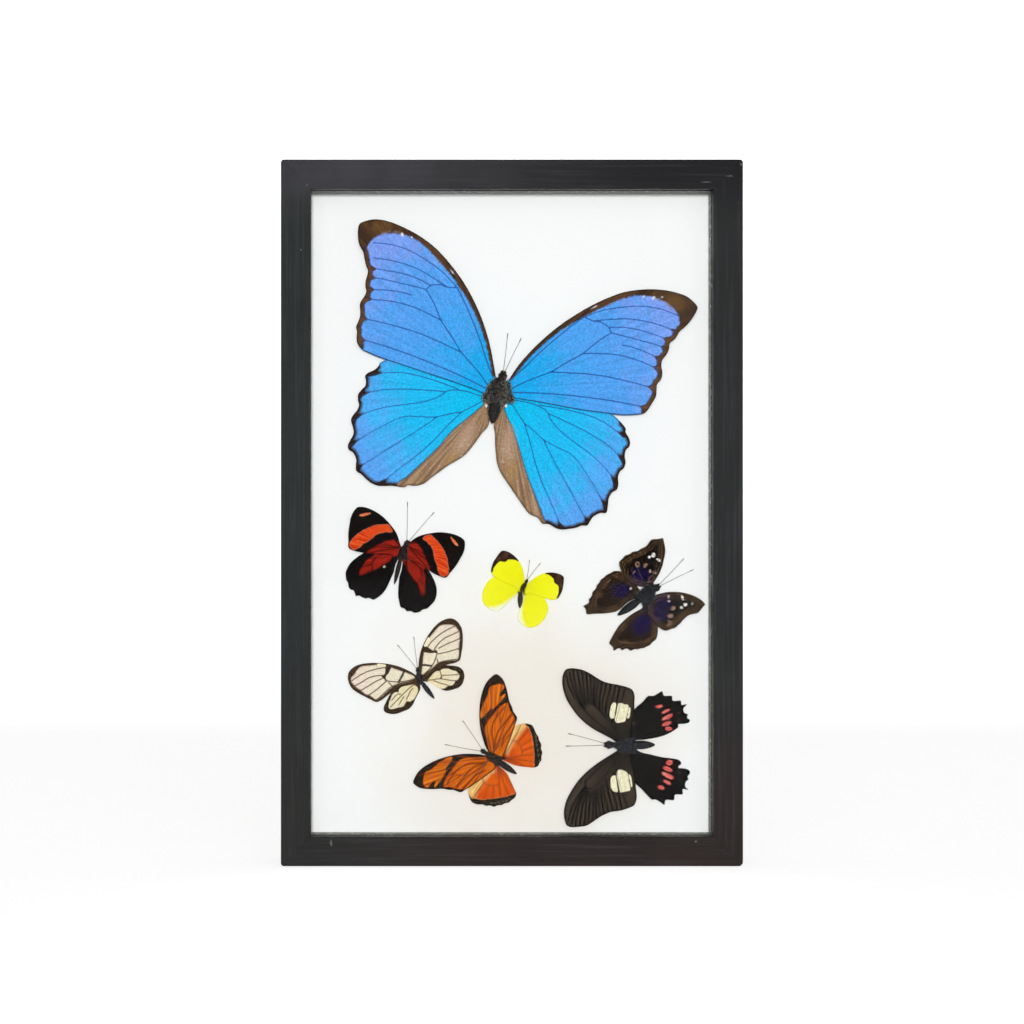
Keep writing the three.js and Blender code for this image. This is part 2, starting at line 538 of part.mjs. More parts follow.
function slotCutters() {
  return pointPlaces().map(({ side, z }) => {
    const depth = POINT_THICKNESS + 2 * JOINT_GAP;
    const bite = POINT_BITE + 2 * JOINT_GAP;
    const x = side * (POCKET_WIDTH / 2 + bite / 2);
    return toSolid(box(bite, depth, POINT_WIDTH + 2 * JOINT_GAP, x, pointCentreY(), z));
  });
}

function buildRails() {
  for (const side of ['top', 'bottom', 'left', 'right']) {
    const { angle, x, z, length } = railPlace(side);
    const geometry = railGeometry(length);
    geometry.rotateY(-angle);
    geometry.translate(x, 0, z);
    const solid = slotCutters().reduce((rail, cutter) => rail.subtract(cutter), toSolid(geometry));
    addMesh(`rail_${side}`, toGeometry(solid), MATERIALS.blackPaint);
  }
}

// Glass, spacers and boards
function pocketSheet(frontY, thickness) {
  return box(POCKET_WIDTH, thickness, POCKET_HEIGHT, 0, frontY + thickness / 2, CENTRE_Z);
}

function buildSheets() {
  addMesh('glass_pane', pocketSheet(GLASS_Y, GLASS_THICKNESS), MATERIALS.glass);
  addMesh('mount_board', pocketSheet(BOARD_Y, BOARD_THICKNESS), MATERIALS.whiteBoard);
  addMesh('back_board', pocketSheet(BACK_BOARD_Y, BACK_THICKNESS), MATERIALS.brownBoard);
}

function buildSpacers() {
  const depth = BOARD_Y - JOINT_GAP - SPACER_Y;
  const width = LIP_WIDTH - JOINT_GAP;
  const middleY = SPACER_Y + depth / 2;
  const sideX = POCKET_WIDTH / 2 - width / 2;
  const endZ = POCKET_HEIGHT / 2 - width / 2;
  const sideHeight = POCKET_HEIGHT - 2 * (width + JOINT_GAP);
  for (const [name, sign] of [['top', 1], ['bottom', -1]]) {
    const strip = box(POCKET_WIDTH, depth, width, 0, middleY, CENTRE_Z + sign * endZ);
    addMesh(`spacer_${name}`, strip, MATERIALS.spacerPaint);
  }
  for (const [name, sign] of [['left', -1], ['right', 1]]) {
    const strip = box(width, depth, sideHeight, sign * sideX, middleY, CENTRE_Z);
    addMesh(`spacer_${name}`, strip, MATERIALS.spacerPaint);
  }
}

// Fittings behind the back board
function pointCentreY() {
  return BACK_FACE_Y + JOINT_GAP + POINT_THICKNESS / 2;
}

function pointPlaces() {
  const places = [];
  for (const side of [-1, 1]) {
    for (const rise of [-POINT_RISE, POINT_RISE]) {
      places.push({ side, z: CENTRE_Z + rise });
    }
  }
  return places;
}

function buildRetainingPoints() {
  pointPlaces().forEach(({ side, z }, index) => {
    const outerX = POCKET_WIDTH / 2 + POINT_BITE;
    const shoulder = POINT_WIDTH / 2;
    const tip = outerX - POINT_LENGTH;
    const outline = [
      [side * outerX, z - shoulder], [side * outerX, z + shoulder],
      [side * (tip + shoulder), z + shoulder], [side * tip, z], [side * (tip + shoulder), z - shoulder],
    ];
    const frontY = pointCentreY() - POINT_THICKNESS / 2;
    const point = slab(outline, frontY, frontY + POINT_THICKNESS);
    addMesh(`retaining_point_${index + 1}`, point, MATERIALS.steel);
  });
}

function circlePoints(x, y, radius) {
  return Array.from({ length: ROUND_SIDES }, (_, index) => {
    const angle = (2 * Math.PI * index) / ROUND_SIDES;
    return new THREE.Vector2(x + radius * Math.cos(angle), y + radius * Math.sin(angle));
  });
}

// The strap is folded round the bar of the ring, and its two layers run down from there.
// The section's first value runs down the board, its second away from it.
function strapShape() {
  const hole = RING_WIRE * Math.SQRT1_2 + JOINT_GAP;
  const loop = hole + STRAP_THICKNESS;
  const layers = 2 * STRAP_THICKNESS;
  const outline = [[STRAP_LENGTH, layers], [STRAP_LENGTH, 0]];
  for (let step = 0; step <= ROUND_SIDES / 2; step += 1) {
    const angle = -Math.PI / 2 + (Math.PI * step) / (ROUND_SIDES / 2);
    outline.push([-loop * Math.cos(angle), loop + loop * Math.sin(angle)]);
  }
  outline.push([loop, loop + hole / 2], [2 * loop, layers]);
  const shape = toShape(outline);
  shape.holes.push(new THREE.Path(circlePoints(0, loop, hole)));
  return shape;
}

// The ring is a D, its straight bar along the bottom.
function ringShape() {
  const shape = new THREE.Shape();
  shape.absarc(0, 0, RING_RADIUS, 0, Math.PI, false);
  shape.lineTo(-RING_RADIUS, -RING_WIRE);
  shape.lineTo(RING_RADIUS, -RING_WIRE);
  const hole = new THREE.Path();
  hole.absarc(0, 0, RING_RADIUS - RING_WIRE, 0, Math.PI, false);
  shape.holes.push(hole);
  return shape;
}

function buildHanger() {
  const barZ = FRAME_HEIGHT - HANGER_DROP;
  const footY = BACK_FACE_Y + JOINT_GAP;
  const barY = footY + RING_WIRE * Math.SQRT1_2 + JOINT_GAP + STRAP_THICKNESS;

  const strap = new THREE.ExtrudeGeometry(strapShape(), {
    depth: STRAP_WIDTH, bevelEnabled: false, curveSegments: ROUND_SIDES / 2,
  });
  strap.applyMatrix4(new THREE.Matrix4().set(
    0, 0, 1, -STRAP_WIDTH / 2,
    0, 1, 0, footY,
    -1, 0, 0, barZ,
    0, 0, 0, 1,
  ));
  addMesh('hanger_strap', strap, MATERIALS.brass);

  const ring = new THREE.ExtrudeGeometry(ringShape(), {
    depth: RING_WIRE, bevelEnabled: false, curveSegments: ROUND_SIDES / 2,
  });
  ring.rotateX(Math.PI / 2);
  ring.translate(0, barY + RING_WIRE / 2, barZ + RING_WIRE / 2);
  addMesh('hanger_ring', ring, MATERIALS.brass);

  const rivetY = footY + 2 * STRAP_THICKNESS + JOINT_GAP + RIVET_HEIGHT / 2;
  for (const [name, drop] of [['upper', RIVET_DROP], ['lower', RIVET_DROP + RIVET_SPACING]]) {
    const rivet = new THREE.CylinderGeometry(RIVET_RADIUS, RIVET_RADIUS / 2, RIVET_HEIGHT, ROUND_SIDES);
    rivet.rotateX(-Math.PI);
    rivet.translate(0, rivetY, barZ - drop);
    addMesh(`hanger_rivet_${name}`, rivet, MATERIALS.brass);
  }
}

// Butterfly bodies
function radians(degrees) {
  return THREE.MathUtils.degToRad(degrees);
}

// The height above the board of a body's middle line.
function bodyLift(butterfly) {
  return JOINT_GAP + butterfly.thorax.width * BODY_FLATNESS / 2;
}

// A lathe profile that swells from one pole to the other; a skew below 1 thins the far end.
function spindle(length, width, skew, grow) {
  const points = [];
  for (let ring = 0; ring <= BODY_RINGS; ring += 1) {
    const share = ring / BODY_RINGS;
    const radius = (width / 2 + grow) * Math.sin(Math.PI * share ** skew) ** BODY_FULLNESS;
    const isPole = ring === 0 || ring === BODY_RINGS;
    points.push(new THREE.Vector2(isPole ? 0 : radius, share * (length + 2 * grow) - grow));
  }
  return points;
}

// Lays a lathe along the board from a start point, in a direction given in degrees.
function layLathe(points, start, angle, lift) {
  const geometry = new THREE.LatheGeometry(points, BODY_SIDES);
  geometry.scale(1, 1, BODY_FLATNESS);
  geometry.rotateX(Math.PI / 2);
  geometry.rotateY(Math.PI / 2 - radians(angle));
  geometry.translate(start[0], BOARD_Y - lift, CENTRE_Z + start[1]);
  return geometry;
}

function along(point, angle, distance) {
  const turn = radians(angle);
  return [point[0] + distance * Math.cos(turn), point[1] + distance * Math.sin(turn)];
}

// Head and thorax lie on the body's middle line, evenly about their own centres.
function middlePart(butterfly, centre, length, width, grow) {
  const { angle } = butterfly.thorax;
  const start = along(centre, angle, -length / 2);
  return layLathe(spindle(length, width, 1, grow), start, angle, bodyLift(butterfly));
}

function abdomenPart(butterfly, grow) {
  const { from, to, width } = butterfly.abdomen;
  const run = new THREE.Vector2(to[0] - from[0], to[1] - from[1]);
  const angle = THREE.MathUtils.radToDeg(run.angle());
  return layLathe(spindle(run.length(), width, ABDOMEN_SKEW, grow), from, angle, bodyLift(butterfly));
}

// The body without antennae, swelled by grow on every side.
function trunkSolid(butterfly, grow) {
  const { head, thorax } = butterfly;
  const parts = [
    middlePart(butterfly, head.at, head.width, head.width, grow),
    middlePart(butterfly, thorax.at, thorax.length, thorax.width, grow),
    abdomenPart(butterfly, grow),
  ];
  return parts.map(toSolid).reduce((whole, part) => whole.add(part));
}

function antennaProfile(length) {
  const clubStart = length * (1 - CLUB_SHARE);
  const profile = [
    [0, 0], [ANTENNA_RADIUS, 0], [ANTENNA_RADIUS, clubStart], [ANTENNA_CLUB, length - ANTENNA_CLUB],
    [0, length],
  ];
  return profile.map(([radius, height]) => new THREE.Vector2(radius, height));
}

function antennaSolid(butterfly, antenna) {
  const geometry = new THREE.LatheGeometry(antennaProfile(antenna.length), ANTENNA_SIDES);
  geometry.rotateX(Math.PI / 2);
  geometry.rotateY(Math.PI / 2 - radians(antenna.angle));
  const [x, z] = butterfly.head.at;
  geometry.translate(x, BOARD_Y - bodyLift(butterfly), CENTRE_Z + z);
  return toSolid(geometry);
}

function buildBody(name, butterfly) {
  let whole = trunkSolid(butterfly, 0);
  for (const antenna of butterfly.antennae) {
    whole = whole.add(antennaSolid(butterfly, antenna));
  }
  const material = { color: butterfly.bodyColor, roughness: 0.85, metalness: 0 };
  addMesh(`${name}_body`, toGeometry(whole), material);
}

// Wings
function smooth(points, steps) {
  const curve = new THREE.SplineCurve(points.map(([u, v]) => new THREE.Vector2(u, v)));
  return curve.getSpacedPoints(steps).map((point) => [point.x, point.y]);
}

function wingOutline(key) {
  const wing = WINGS[key];
  return [...smooth(wing.costa, wing.costaSteps), ...wing.margin, ...smooth(wing.inner, wing.innerSteps)];
}

// Places an outline on the board.
function placedOutline(place, isLeft) {
  const { outline, at, angle, scale = 1 } = place;
  const turn = isLeft ? -1 : 1;
  return wingOutline(outline).map(([u, v]) => {
    const tipward = along(at, angle, u * scale);
    const [x, z] = along(tipward, angle + turn * QUARTER_TURN, v * scale);
    return [x, CENTRE_Z + z];
  });
}

// The half of the board on one side of the butterfly's middle line, as a thick slab.
function halfPlane(butterfly, isLeft) {
  const { at, angle } = butterfly.thorax;
  const side = angle + (isLeft ? QUARTER_TURN : -QUARTER_TURN);
  const middle = along(at, side, JOINT_GAP / 2);
  const ends = [along(middle, angle, FRAME_HEIGHT), along(middle, angle, -FRAME_HEIGHT)];
  const far = ends.map((point) => along(point, side, FRAME_HEIGHT)).reverse();
  const outline = [...ends, ...far].map(([x, z]) => [x, CENTRE_Z + z]);
  return toSolid(slab(outline, BOARD_Y - WING_SPACE, BOARD_Y));
}

function buildWing(name, butterfly, pair, side, lift) {
  const isLeft = side === 'left';
  const outline = placedOutline(butterfly[pair][side], isLeft);
  const frontY = BOARD_Y - lift - butterfly.wingThickness;
  const plate = toSolid(slab(outline, frontY, BOARD_Y - lift));
  const half = plate.intersect(halfPlane(butterfly, isLeft));
  const clear = half.subtract(trunkSolid(butterfly, JOINT_GAP));
  const material = { color: butterfly.color, roughness: 0.6, metalness: 0 };
  addMesh(`${name}_${pair}_${side}`, toGeometry(largestPiece(clear)), material);
}

function buildButterfly(name, butterfly) {
  buildBody(name, butterfly);
  const foreLift = butterfly.hindLift + butterfly.wingThickness + FORE_LIFT_STEP;
  for (const side of ['left', 'right']) {
    buildWing(name, butterfly, 'forewing', side, foreLift);
    buildWing(name, butterfly, 'hindwing', side, butterfly.hindLift);
  }
}

buildRails();
buildSheets();
buildSpacers();
buildRetainingPoints();
buildHanger();
for (const [name, butterfly] of Object.entries(BUTTERFLIES)) {
  buildButterfly(name, butterfly);
}

export default root;
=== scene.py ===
"""A shallow black display frame with seven butterflies set behind glass, all in metres."""

import logging
import math
from dataclasses import dataclass, field
from enum import Enum
from typing import Callable, Iterable, Sequence

import bmesh
import bpy
import numpy as np
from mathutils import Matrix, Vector
from mathutils.geometry import delaunay_2d_cdt


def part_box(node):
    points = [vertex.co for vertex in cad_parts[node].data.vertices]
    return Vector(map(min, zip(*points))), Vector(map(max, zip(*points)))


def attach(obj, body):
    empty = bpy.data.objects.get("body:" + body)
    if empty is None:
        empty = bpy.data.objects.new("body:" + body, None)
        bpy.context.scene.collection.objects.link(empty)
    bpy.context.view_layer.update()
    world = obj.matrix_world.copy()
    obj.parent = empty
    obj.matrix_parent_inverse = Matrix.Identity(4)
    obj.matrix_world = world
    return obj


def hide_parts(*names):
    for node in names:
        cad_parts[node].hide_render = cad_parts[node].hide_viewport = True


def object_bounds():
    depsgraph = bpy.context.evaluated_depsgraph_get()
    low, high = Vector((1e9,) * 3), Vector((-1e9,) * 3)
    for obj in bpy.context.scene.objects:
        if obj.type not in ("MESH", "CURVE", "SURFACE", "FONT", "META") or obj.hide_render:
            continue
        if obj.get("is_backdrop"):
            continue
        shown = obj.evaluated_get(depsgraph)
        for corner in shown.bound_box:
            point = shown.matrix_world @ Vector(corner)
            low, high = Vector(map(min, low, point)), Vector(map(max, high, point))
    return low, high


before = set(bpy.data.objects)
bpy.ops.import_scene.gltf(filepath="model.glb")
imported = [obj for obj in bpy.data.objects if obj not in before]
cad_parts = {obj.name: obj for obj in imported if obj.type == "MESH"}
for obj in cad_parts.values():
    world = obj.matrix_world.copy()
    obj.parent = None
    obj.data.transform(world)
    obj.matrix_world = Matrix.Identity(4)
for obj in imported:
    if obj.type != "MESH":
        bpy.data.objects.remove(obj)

LOG = logging.getLogger("scene")
MM = 0.001
Point = tuple[float, float]
Colour = tuple[float, float, float]
Value = object


# Small tools


def rgb(code: str) -> Colour:
    """Turn a six-digit hex colour into linear red, green and blue."""
    parts = [int(code[i : i + 2], 16) / 255 for i in (0, 2, 4)]
    return tuple(c / 12.92 if c <= 0.04045 else ((c + 0.055) / 1.055) ** 2.4 for c in parts)


def trace(text: str) -> list[tuple[float, ...]]:
    """Read rows of numbers parted by commas: points of a line, or ovals."""
    return [tuple(float(part) for part in row.split()) for row in text.split(",")]


def traces(text: str) -> list[list[tuple[float, ...]]]:
    """Read several lines parted by semicolons."""
    return [trace(part) for part in text.split(";")]


def new_object(name: str, data: bpy.types.ID) -> bpy.types.Object:
    """Put a mesh, a light or a camera into the scene as an object at the origin."""
    made = bpy.data.objects.new(name, data)
    bpy.context.scene.collection.objects.link(made)
    return made


def make_object(name: str, points: Sequence, faces: Sequence, finish: bpy.types.Material | None = None,
                edges: Sequence = ()) -> bpy.types.Object:
    """Make an object from points in metres.

    Args:
        name: Its name.
        points: The places of its vertices.
        faces: The vertices of each face.
        finish: Its material, if it has one yet.
        edges: The vertices of its loose edges.

    Returns:
        The object.
    """
    mesh = bpy.data.meshes.new(name)
    mesh.from_pydata(points, edges, faces)
    if finish is not None:
        mesh.materials.append(finish)
    return new_object(name, mesh)


def grid_faces(rows: int, across: int, closed: bool) -> list[list[int]]:
    """Give the faces between rows of points; closed rows join their two ends."""
    return [[r * across + k, r * across + (k + 1) % across, (r + 1) * across + (k + 1) % across,
             (r + 1) * across + k] for r in range(rows - 1) for k in range(across - (not closed))]


def closed_loop(loop: np.ndarray) -> np.ndarray:
    """Repeat a loop's first point at its end."""
    return np.vstack([loop, loop[:1]])


def shade_smooth(mesh: bpy.types.Mesh) -> None:
    """Smooth every face of a mesh."""
    mesh.polygons.foreach_set("use_smooth", [True] * len(mesh.polygons))


def set_attribute(mesh: bpy.types.Mesh, name: str, values: Sequence[float]) -> None:
    """Store one number for each vertex of a mesh.

    Args:
        mesh: The mesh that takes the numbers.
        name: The attribute's name, as the materials read it.
        values: One number for each vertex.
    """
    layer = mesh.attributes.new(name, "FLOAT", "POINT")
    layer.data.foreach_set("value", np.asarray(values, dtype=np.float32))


def bake_modifiers(made: bpy.types.Object) -> None:
    """Replace an object's mesh by the shape its modifiers give, and remove them."""
    graph = bpy.context.evaluated_depsgraph_get()
    graph.update()
    evaluated = made.evaluated_get(graph)
    mesh = bpy.data.meshes.new_from_object(evaluated, preserve_all_data_layers=True, depsgraph=graph)
    made.modifiers.clear()
    old = made.data
    made.data = mesh
    bpy.data.meshes.remove(old)
    mesh.name = made.name


def hand_over(made: bpy.types.Object, nodes: Iterable[str]) -> bpy.types.Object:
    """Let a piece stand for its solids and ride on the frame's body.

    Args:
        made: The finished piece.
        nodes: The solids that it stands for.

    Returns:
        The same piece.
    """
    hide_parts(*nodes)
    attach(made, "root")
    LOG.info("%s: %d faces", made.name, len(made.data.polygons))
    return made


def resample(points: np.ndarray, step: float, closed: bool) -> np.ndarray:
    """Lay evenly spaced points on a smooth curve through the given ones.

    Args:
        points: Points of the curve, one a row.
        step: The spacing wanted.
        closed: Whether the curve returns to its start.

    Returns:
        The new points, one a row.
    """
    points = np.asarray(points, dtype=float)
    if closed:
        padded = np.vstack([points[-1], points, points[0], points[1]])
    else:
        padded = np.vstack([2 * points[0] - points[1], points, 2 * points[-1] - points[-2]])
    pieces = []
    shares = np.linspace(0, 1, 12, endpoint=False)[:, None]
    for a, b, c, d in zip(padded, padded[1:], padded[2:], padded[3:]):
        curve = (2 * b + (c - a) * shares + (2 * a - 5 * b + 4 * c - d) * shares**2
                 + (3 * b - a - 3 * c + d) * shares**3) / 2
        pieces.append(curve)
    dense = np.vstack(pieces + [padded[-2:-1]])
    run = np.concatenate([[0], np.cumsum(np.linalg.norm(np.diff(dense, axis=0), axis=1))])
    count = max(3, int(round(run[-1] / step)))
    wanted = np.linspace(0, run[-1], count + 1)
    even = np.column_stack([np.interp(wanted, run, dense[:, k]) for k in range(dense.shape[1])])
    return even[:-1] if closed else even


def distance_to_lines(points: np.ndarray, lines: Sequence[np.ndarray]) -> np.ndarray:
    """Give each point's distance to the nearest of some polylines.

    Args:
        points: The points, one a row.
        lines: The polylines, each an array with one point a row.

    Returns:
        One distance for each point.
    """
    best = np.full(len(points), 1e3)
    for line in lines:
        for a, b in zip(line, line[1:]):
            run = b - a
            share = np.clip(((points - a) @ run) / max(run @ run, 1e-9), 0, 1)
            gap = np.linalg.norm(points - a - share[:, None] * run, axis=1)
            best = np.minimum(best, gap)
    return best


def inside(points: np.ndarray, loop: np.ndarray) -> np.ndarray:
    """Tell which points lie inside a closed loop."""
    found = np.zeros(len(points), dtype=bool)
    x, y = points[:, 0], points[:, 1]
    for (ax, ay), (bx, by) in zip(loop, np.roll(loop, -1, axis=0)):
        crosses = (ay > y) != (by > y)
        slope = (bx - ax) * (y - ay) / (by - ay if by != ay else 1e-9) + ax
        found ^= crosses & (x < slope)
    return found


def depth_inside(points: np.ndarray, loop: Sequence[Point], step: float = 0.4) -> np.ndarray:
    """Give each point's depth inside a smooth closed loop, less than zero outside it."""
    smooth = resample(np.array(loop), step, True)
    gap = distance_to_lines(points, [closed_loop(smooth)])
    return np.where(inside(points, smooth), gap, -gap)


# Materials


class Nodes:
    """Adds and links the nodes of one tree."""

    tree: bpy.types.NodeTree

    def feed(self, socket: bpy.types.NodeSocket, value: Value) -> None:
        """Link a socket to another one, or set its value."""
        if isinstance(value, bpy.types.NodeSocket):
            self.tree.links.new(value, socket)
        elif isinstance(value, tuple) and len(value) == 3 and socket.type == "RGBA":
            socket.default_value = (*value, 1)
        else:
            socket.default_value = value

    def add(self, kind: str, settings: dict[str, Value], inputs: dict[Value, Value]) -> bpy.types.Node:
        """Add a node.

        Args:
            kind: The node's type name.
            settings: Its properties.
            inputs: Its inputs by name or number, each a value or a socket.

        Returns:
            The new node.
        """
        node = self.tree.nodes.new(kind)
        for key, value in settings.items():
            setattr(node, key, value)
        for key, value in inputs.items():
            self.feed(node.inputs[key], value)
        return node

    def math(self, operation: str, *values: Value) -> bpy.types.NodeSocket:
        """Calculate with up to three numbers."""
        return self.add("ShaderNodeMath", {"operation": operation}, dict(enumerate(values))).outputs[0]


class Shader(Nodes):
    """The nodes of one material."""

    def __init__(self, name: str) -> None:
        """Start an empty material with this name."""
        self.material = bpy.data.materials.new(name)
        self.material.use_nodes = True
        self.tree = self.material.node_tree
        self.tree.nodes.clear()
        self.output = self.tree.nodes.new("ShaderNodeOutputMaterial")
        self.place = self.tree.nodes.new("ShaderNodeTexCoord").outputs["Object"]

    def attribute(self, name: str) -> bpy.types.NodeSocket:
        """Read a number stored on the mesh."""
        return self.add("ShaderNodeAttribute", {"attribute_name": name}, {}).outputs["Fac"]

    def mix(self, share: Value, first: Value, second: Value, blend: str = "MIX") -> bpy.types.NodeSocket:
        """Mix two colours."""
        settings = {"data_type": "RGBA", "blend_type": blend}
        return self.add("ShaderNodeMix", settings, {0: share, 6: first, 7: second}).outputs[2]

    def span(self, value: Value, low: float, high: float, first: float = 0.0, last: float = 1.0
             ) -> bpy.types.NodeSocket:
        """Turn a range of numbers smoothly into another.

        Args:
            value: The number to turn.
            low: Where the range begins.
            high: Where it ends.
            first: The result at its beginning.
            last: The result at its end.

        Returns:
            The socket of the result.
        """
        settings = {"interpolation_type": "SMOOTHSTEP"}
        inputs = {0: value, 1: low, 2: high, 3: first, 4: last}
        return self.add("ShaderNodeMapRange", settings, inputs).outputs[0]

    def noise(self, size: float, detail: float = 3.0, rough: float = 0.55, where: Value = None
              ) -> bpy.types.NodeSocket:
        """Give soft random spots of about this size in mm, around one half."""
        inputs = {"Vector": where or self.place, "Scale": 1 / (size * MM) if where is None else size,
                  "Detail": detail, "Roughness": rough}
        return self.add("ShaderNodeTexNoise", {}, inputs).outputs["Fac"]

    def stretched(self, x: float, y: float, z: float) -> bpy.types.NodeSocket:
        """Give the place on the object with each axis scaled."""
        inputs = {"Vector": self.place, "Scale": (x, y, z)}
        return self.add("ShaderNodeMapping", {}, inputs).outputs[0]

    def axis(self, letter: str) -> bpy.types.NodeSocket:
        """Give one coordinate of the place on the object, in metres."""
        return self.add("ShaderNodeSeparateXYZ", {}, {0: self.place}).outputs[letter]

    def away(self, x: float, z: float, wide: float, high: float) -> bpy.types.NodeSocket:
        """Measure how far a place lies from a point on the front.

        Args:
            x: The point's place across, in metres.
            z: The point's height, in metres.
            wide: How far across the value reaches 1, in metres.
            high: How far up the value reaches 1, in metres.

        Returns:
            The distance.
        """
        total: Value = 0.0
        for letter, at, size in (("X", x, wide), ("Z", z, high)):
            part = self.math("MULTIPLY", self.math("SUBTRACT", self.axis(letter), at), 1 / size)
            total = self.math("ADD", total, self.math("MULTIPLY", part, part))
        return self.math("SQRT", total)

    def joined(self, x: Value, y: Value, z: Value) -> bpy.types.NodeSocket:
        """Make a vector of three numbers."""
        return self.add("ShaderNodeCombineXYZ", {}, {0: x, 1: y, 2: z}).outputs[0]

    def bump(self, height: Value, depth: float, strength: float = 1.0) -> bpy.types.NodeSocket:
        """Turn a height into a surface normal; depth is in mm."""
        inputs = {"Height": height, "Distance": depth * MM, "Strength": strength}
        return self.add("ShaderNodeBump", {}, inputs).outputs[0]

    def principled(self, **inputs: Value) -> bpy.types.NodeSocket:
        """Add the main shader; an underscore in a name stands for a space."""
        named = {key.replace("_", " "): value for key, value in inputs.items()}
        return self.add("ShaderNodeBsdfPrincipled", {}, named).outputs[0]

    def finish(self, surface: bpy.types.NodeSocket) -> bpy.types.Material:
        """Use this shader for the surface and return the material."""
        self.tree.links.new(surface, self.output.inputs["Surface"])
        return self.material


@dataclass(frozen=True)
class BlackPaint:
    """Satin black paint on wood, a little worn along its edges, with painted reflected light: lighter along
    the top towards the left, warmer along the bottom.
    """

    roughness: float = 0.42
    grain: float = 0.5
    scuffs: tuple[tuple[float, float, float, float], ...] = (
        (84.3, 258.1, 0.6, 0.5), (71.4, 251.6, 2.2, 0.25), (79.8, 253.8, 1.5, 0.3), (67.6, 9.2, 0.6, 0.5),
        (-66.5, 8.6, 0.5, 1.3), (-75.4, 250.4, 0.35, 0.4), (-77.6, 226.6, 0.3, 0.4),
    )

    def build(self) -> bpy.types.Material:
        """Make the material."""
        s = Shader("satin_black_paint")
        # Painted reflected light: the bottom rail warmer towards the right, the sides faintly green-grey, the
        # top rail lighter towards the left and darker towards the right.
        height = s.math("MULTIPLY", s.axis("Z"), 1 / (FrameSizes.height * MM))
        low = s.mix(s.span(s.axis("X"), -0.08, 0.02), rgb("242322"), rgb("261D1B"))
        side = s.mix(s.span(s.axis("X"), -0.08, 0.08), rgb("232727"), rgb("222525"))
        tint = s.mix(s.span(height, 0.02, 0.35), low, side)
        top = s.mix(s.span(s.axis("X"), -0.07, 0.06), rgb("3A3A3E"), rgb("161618"))
        tint = s.mix(s.span(height, 0.9, 0.98), tint, top)
        cloudy = s.noise(30, 3)
        tint = s.mix(s.span(cloudy, 0.35, 0.7, 0.0, 0.35), tint, rgb("1A1B1B"))
        brushed = s.noise(900, 4, 0.6, s.stretched(1, 1, 0.03))
        brushed_flat = s.noise(900, 4, 0.6, s.stretched(0.03, 1, 1))
        along = s.attribute("upright")
        grain = s.math("ADD", s.math("MULTIPLY", brushed, along),
                       s.math("MULTIPLY", brushed_flat, s.math("SUBTRACT", 1.0, along)))
        tint = s.mix(s.span(grain, 0.45, 0.75, 0.0, 0.22), tint, rgb("48494C"))
        worn = s.math("MULTIPLY", s.span(s.attribute("edge"), 0.0, 0.45, 1.0, 0.0),
                      s.span(s.noise(6, 4, 0.7), 0.48, 0.66))
        tint = s.mix(s.math("MULTIPLY", worn, 0.6), tint, rgb("68686A"))
        specks = s.span(s.noise(0.9, 2, 0.5), 0.78, 0.84)
        tint = s.mix(s.math("MULTIPLY", specks, 0.5), tint, rgb("9A9A98"))
        front = s.span(s.axis("Y"), -0.0122, -0.0105, 0.5, 0.0)
        ragged = s.math("MULTIPLY", s.math("SUBTRACT", s.noise(0.7, 3, 0.6), 0.5), 2.4)
        for x, z, wide, high in self.scuffs:
            away = s.math("ADD", s.away(x / 1000, z / 1000, wide / 1000, high / 1000), ragged)
            tint = s.mix(s.math("MULTIPLY", s.span(away, 0.5, 1.1, 1.0, 0.0), front), tint, rgb("727278"))
        rough = s.span(cloudy, 0.3, 0.7, self.roughness - 0.05, self.roughness + 0.1)
        relief = s.math("ADD", s.math("MULTIPLY", grain, self.grain), s.noise(0.35, 3))
        surface = s.principled(Base_Color=tint, Roughness=rough, Specular_IOR_Level=0.2,
                               Normal=s.bump(relief, 0.03, 0.5))
        return s.finish(surface)


@dataclass(frozen=True)
class SpacerPaint:
    """Grey painted strip, its grey partly painted light bounced from the white board, with painted sparkle
    highlights as fine bright specks and a painted shade line along its edge next to the glass.
    """

    def build(self) -> bpy.types.Material:
        """Make the material."""
        s = Shader("grey_spacer_paint")
        # The grey: partly the strip's own paint, partly painted bounce light from the white board.
        tint = s.mix(s.noise(4, 4, 0.7), rgb("5A5A52"), rgb("82827C"))
        # Painted sparkle highlights as fine bright specks.
        tint = s.mix(s.span(s.noise(1.5, 2), 0.56, 0.66, 0.0, 0.85), tint, rgb("DCDCD4"))
        # Painted shade: a dark band along the edge next to the glass, where the gap lies in shade.
        tint = s.mix(s.span(s.axis("Y"), -0.0072, -0.0064, 0.75, 0.0), tint, rgb("2A2A28"))
        return s.finish(s.principled(Base_Color=tint, Roughness=0.6, Normal=s.bump(s.noise(0.5), 0.05)))


@dataclass(frozen=True)
class BoardPaper:
    """White paper-faced board with a painted soft warm shadow in its lower middle and a little dust."""

    def build(self) -> bpy.types.Material:
        """Make the material."""
        s = Shader("white_board_paper")
        # Painted shade: a soft warm-grey shadow centred low in the middle of the board, its border made
        # cloudy.
        cloudy = s.math("MULTIPLY", s.math("SUBTRACT", s.noise(40, 2), 0.5), 0.9)
        away = s.math("ADD", s.away(0.005, 0.052, 0.062, 0.062), cloudy)
        warm = s.span(away, 0.3, 1.15, 0.9, 0.0)
        tint = s.mix(warm, rgb("F7F7F7"), rgb("EEE6DC"))
        dust = s.span(s.noise(0.7, 2), 0.82, 0.86, 0.0, 0.25)
        tint = s.mix(dust, tint, rgb("B8B4AC"))
        fibre = s.noise(0.25, 3, 0.6)
        return s.finish(s.principled(Base_Color=tint, Roughness=0.85, Normal=s.bump(fibre, 0.012)))


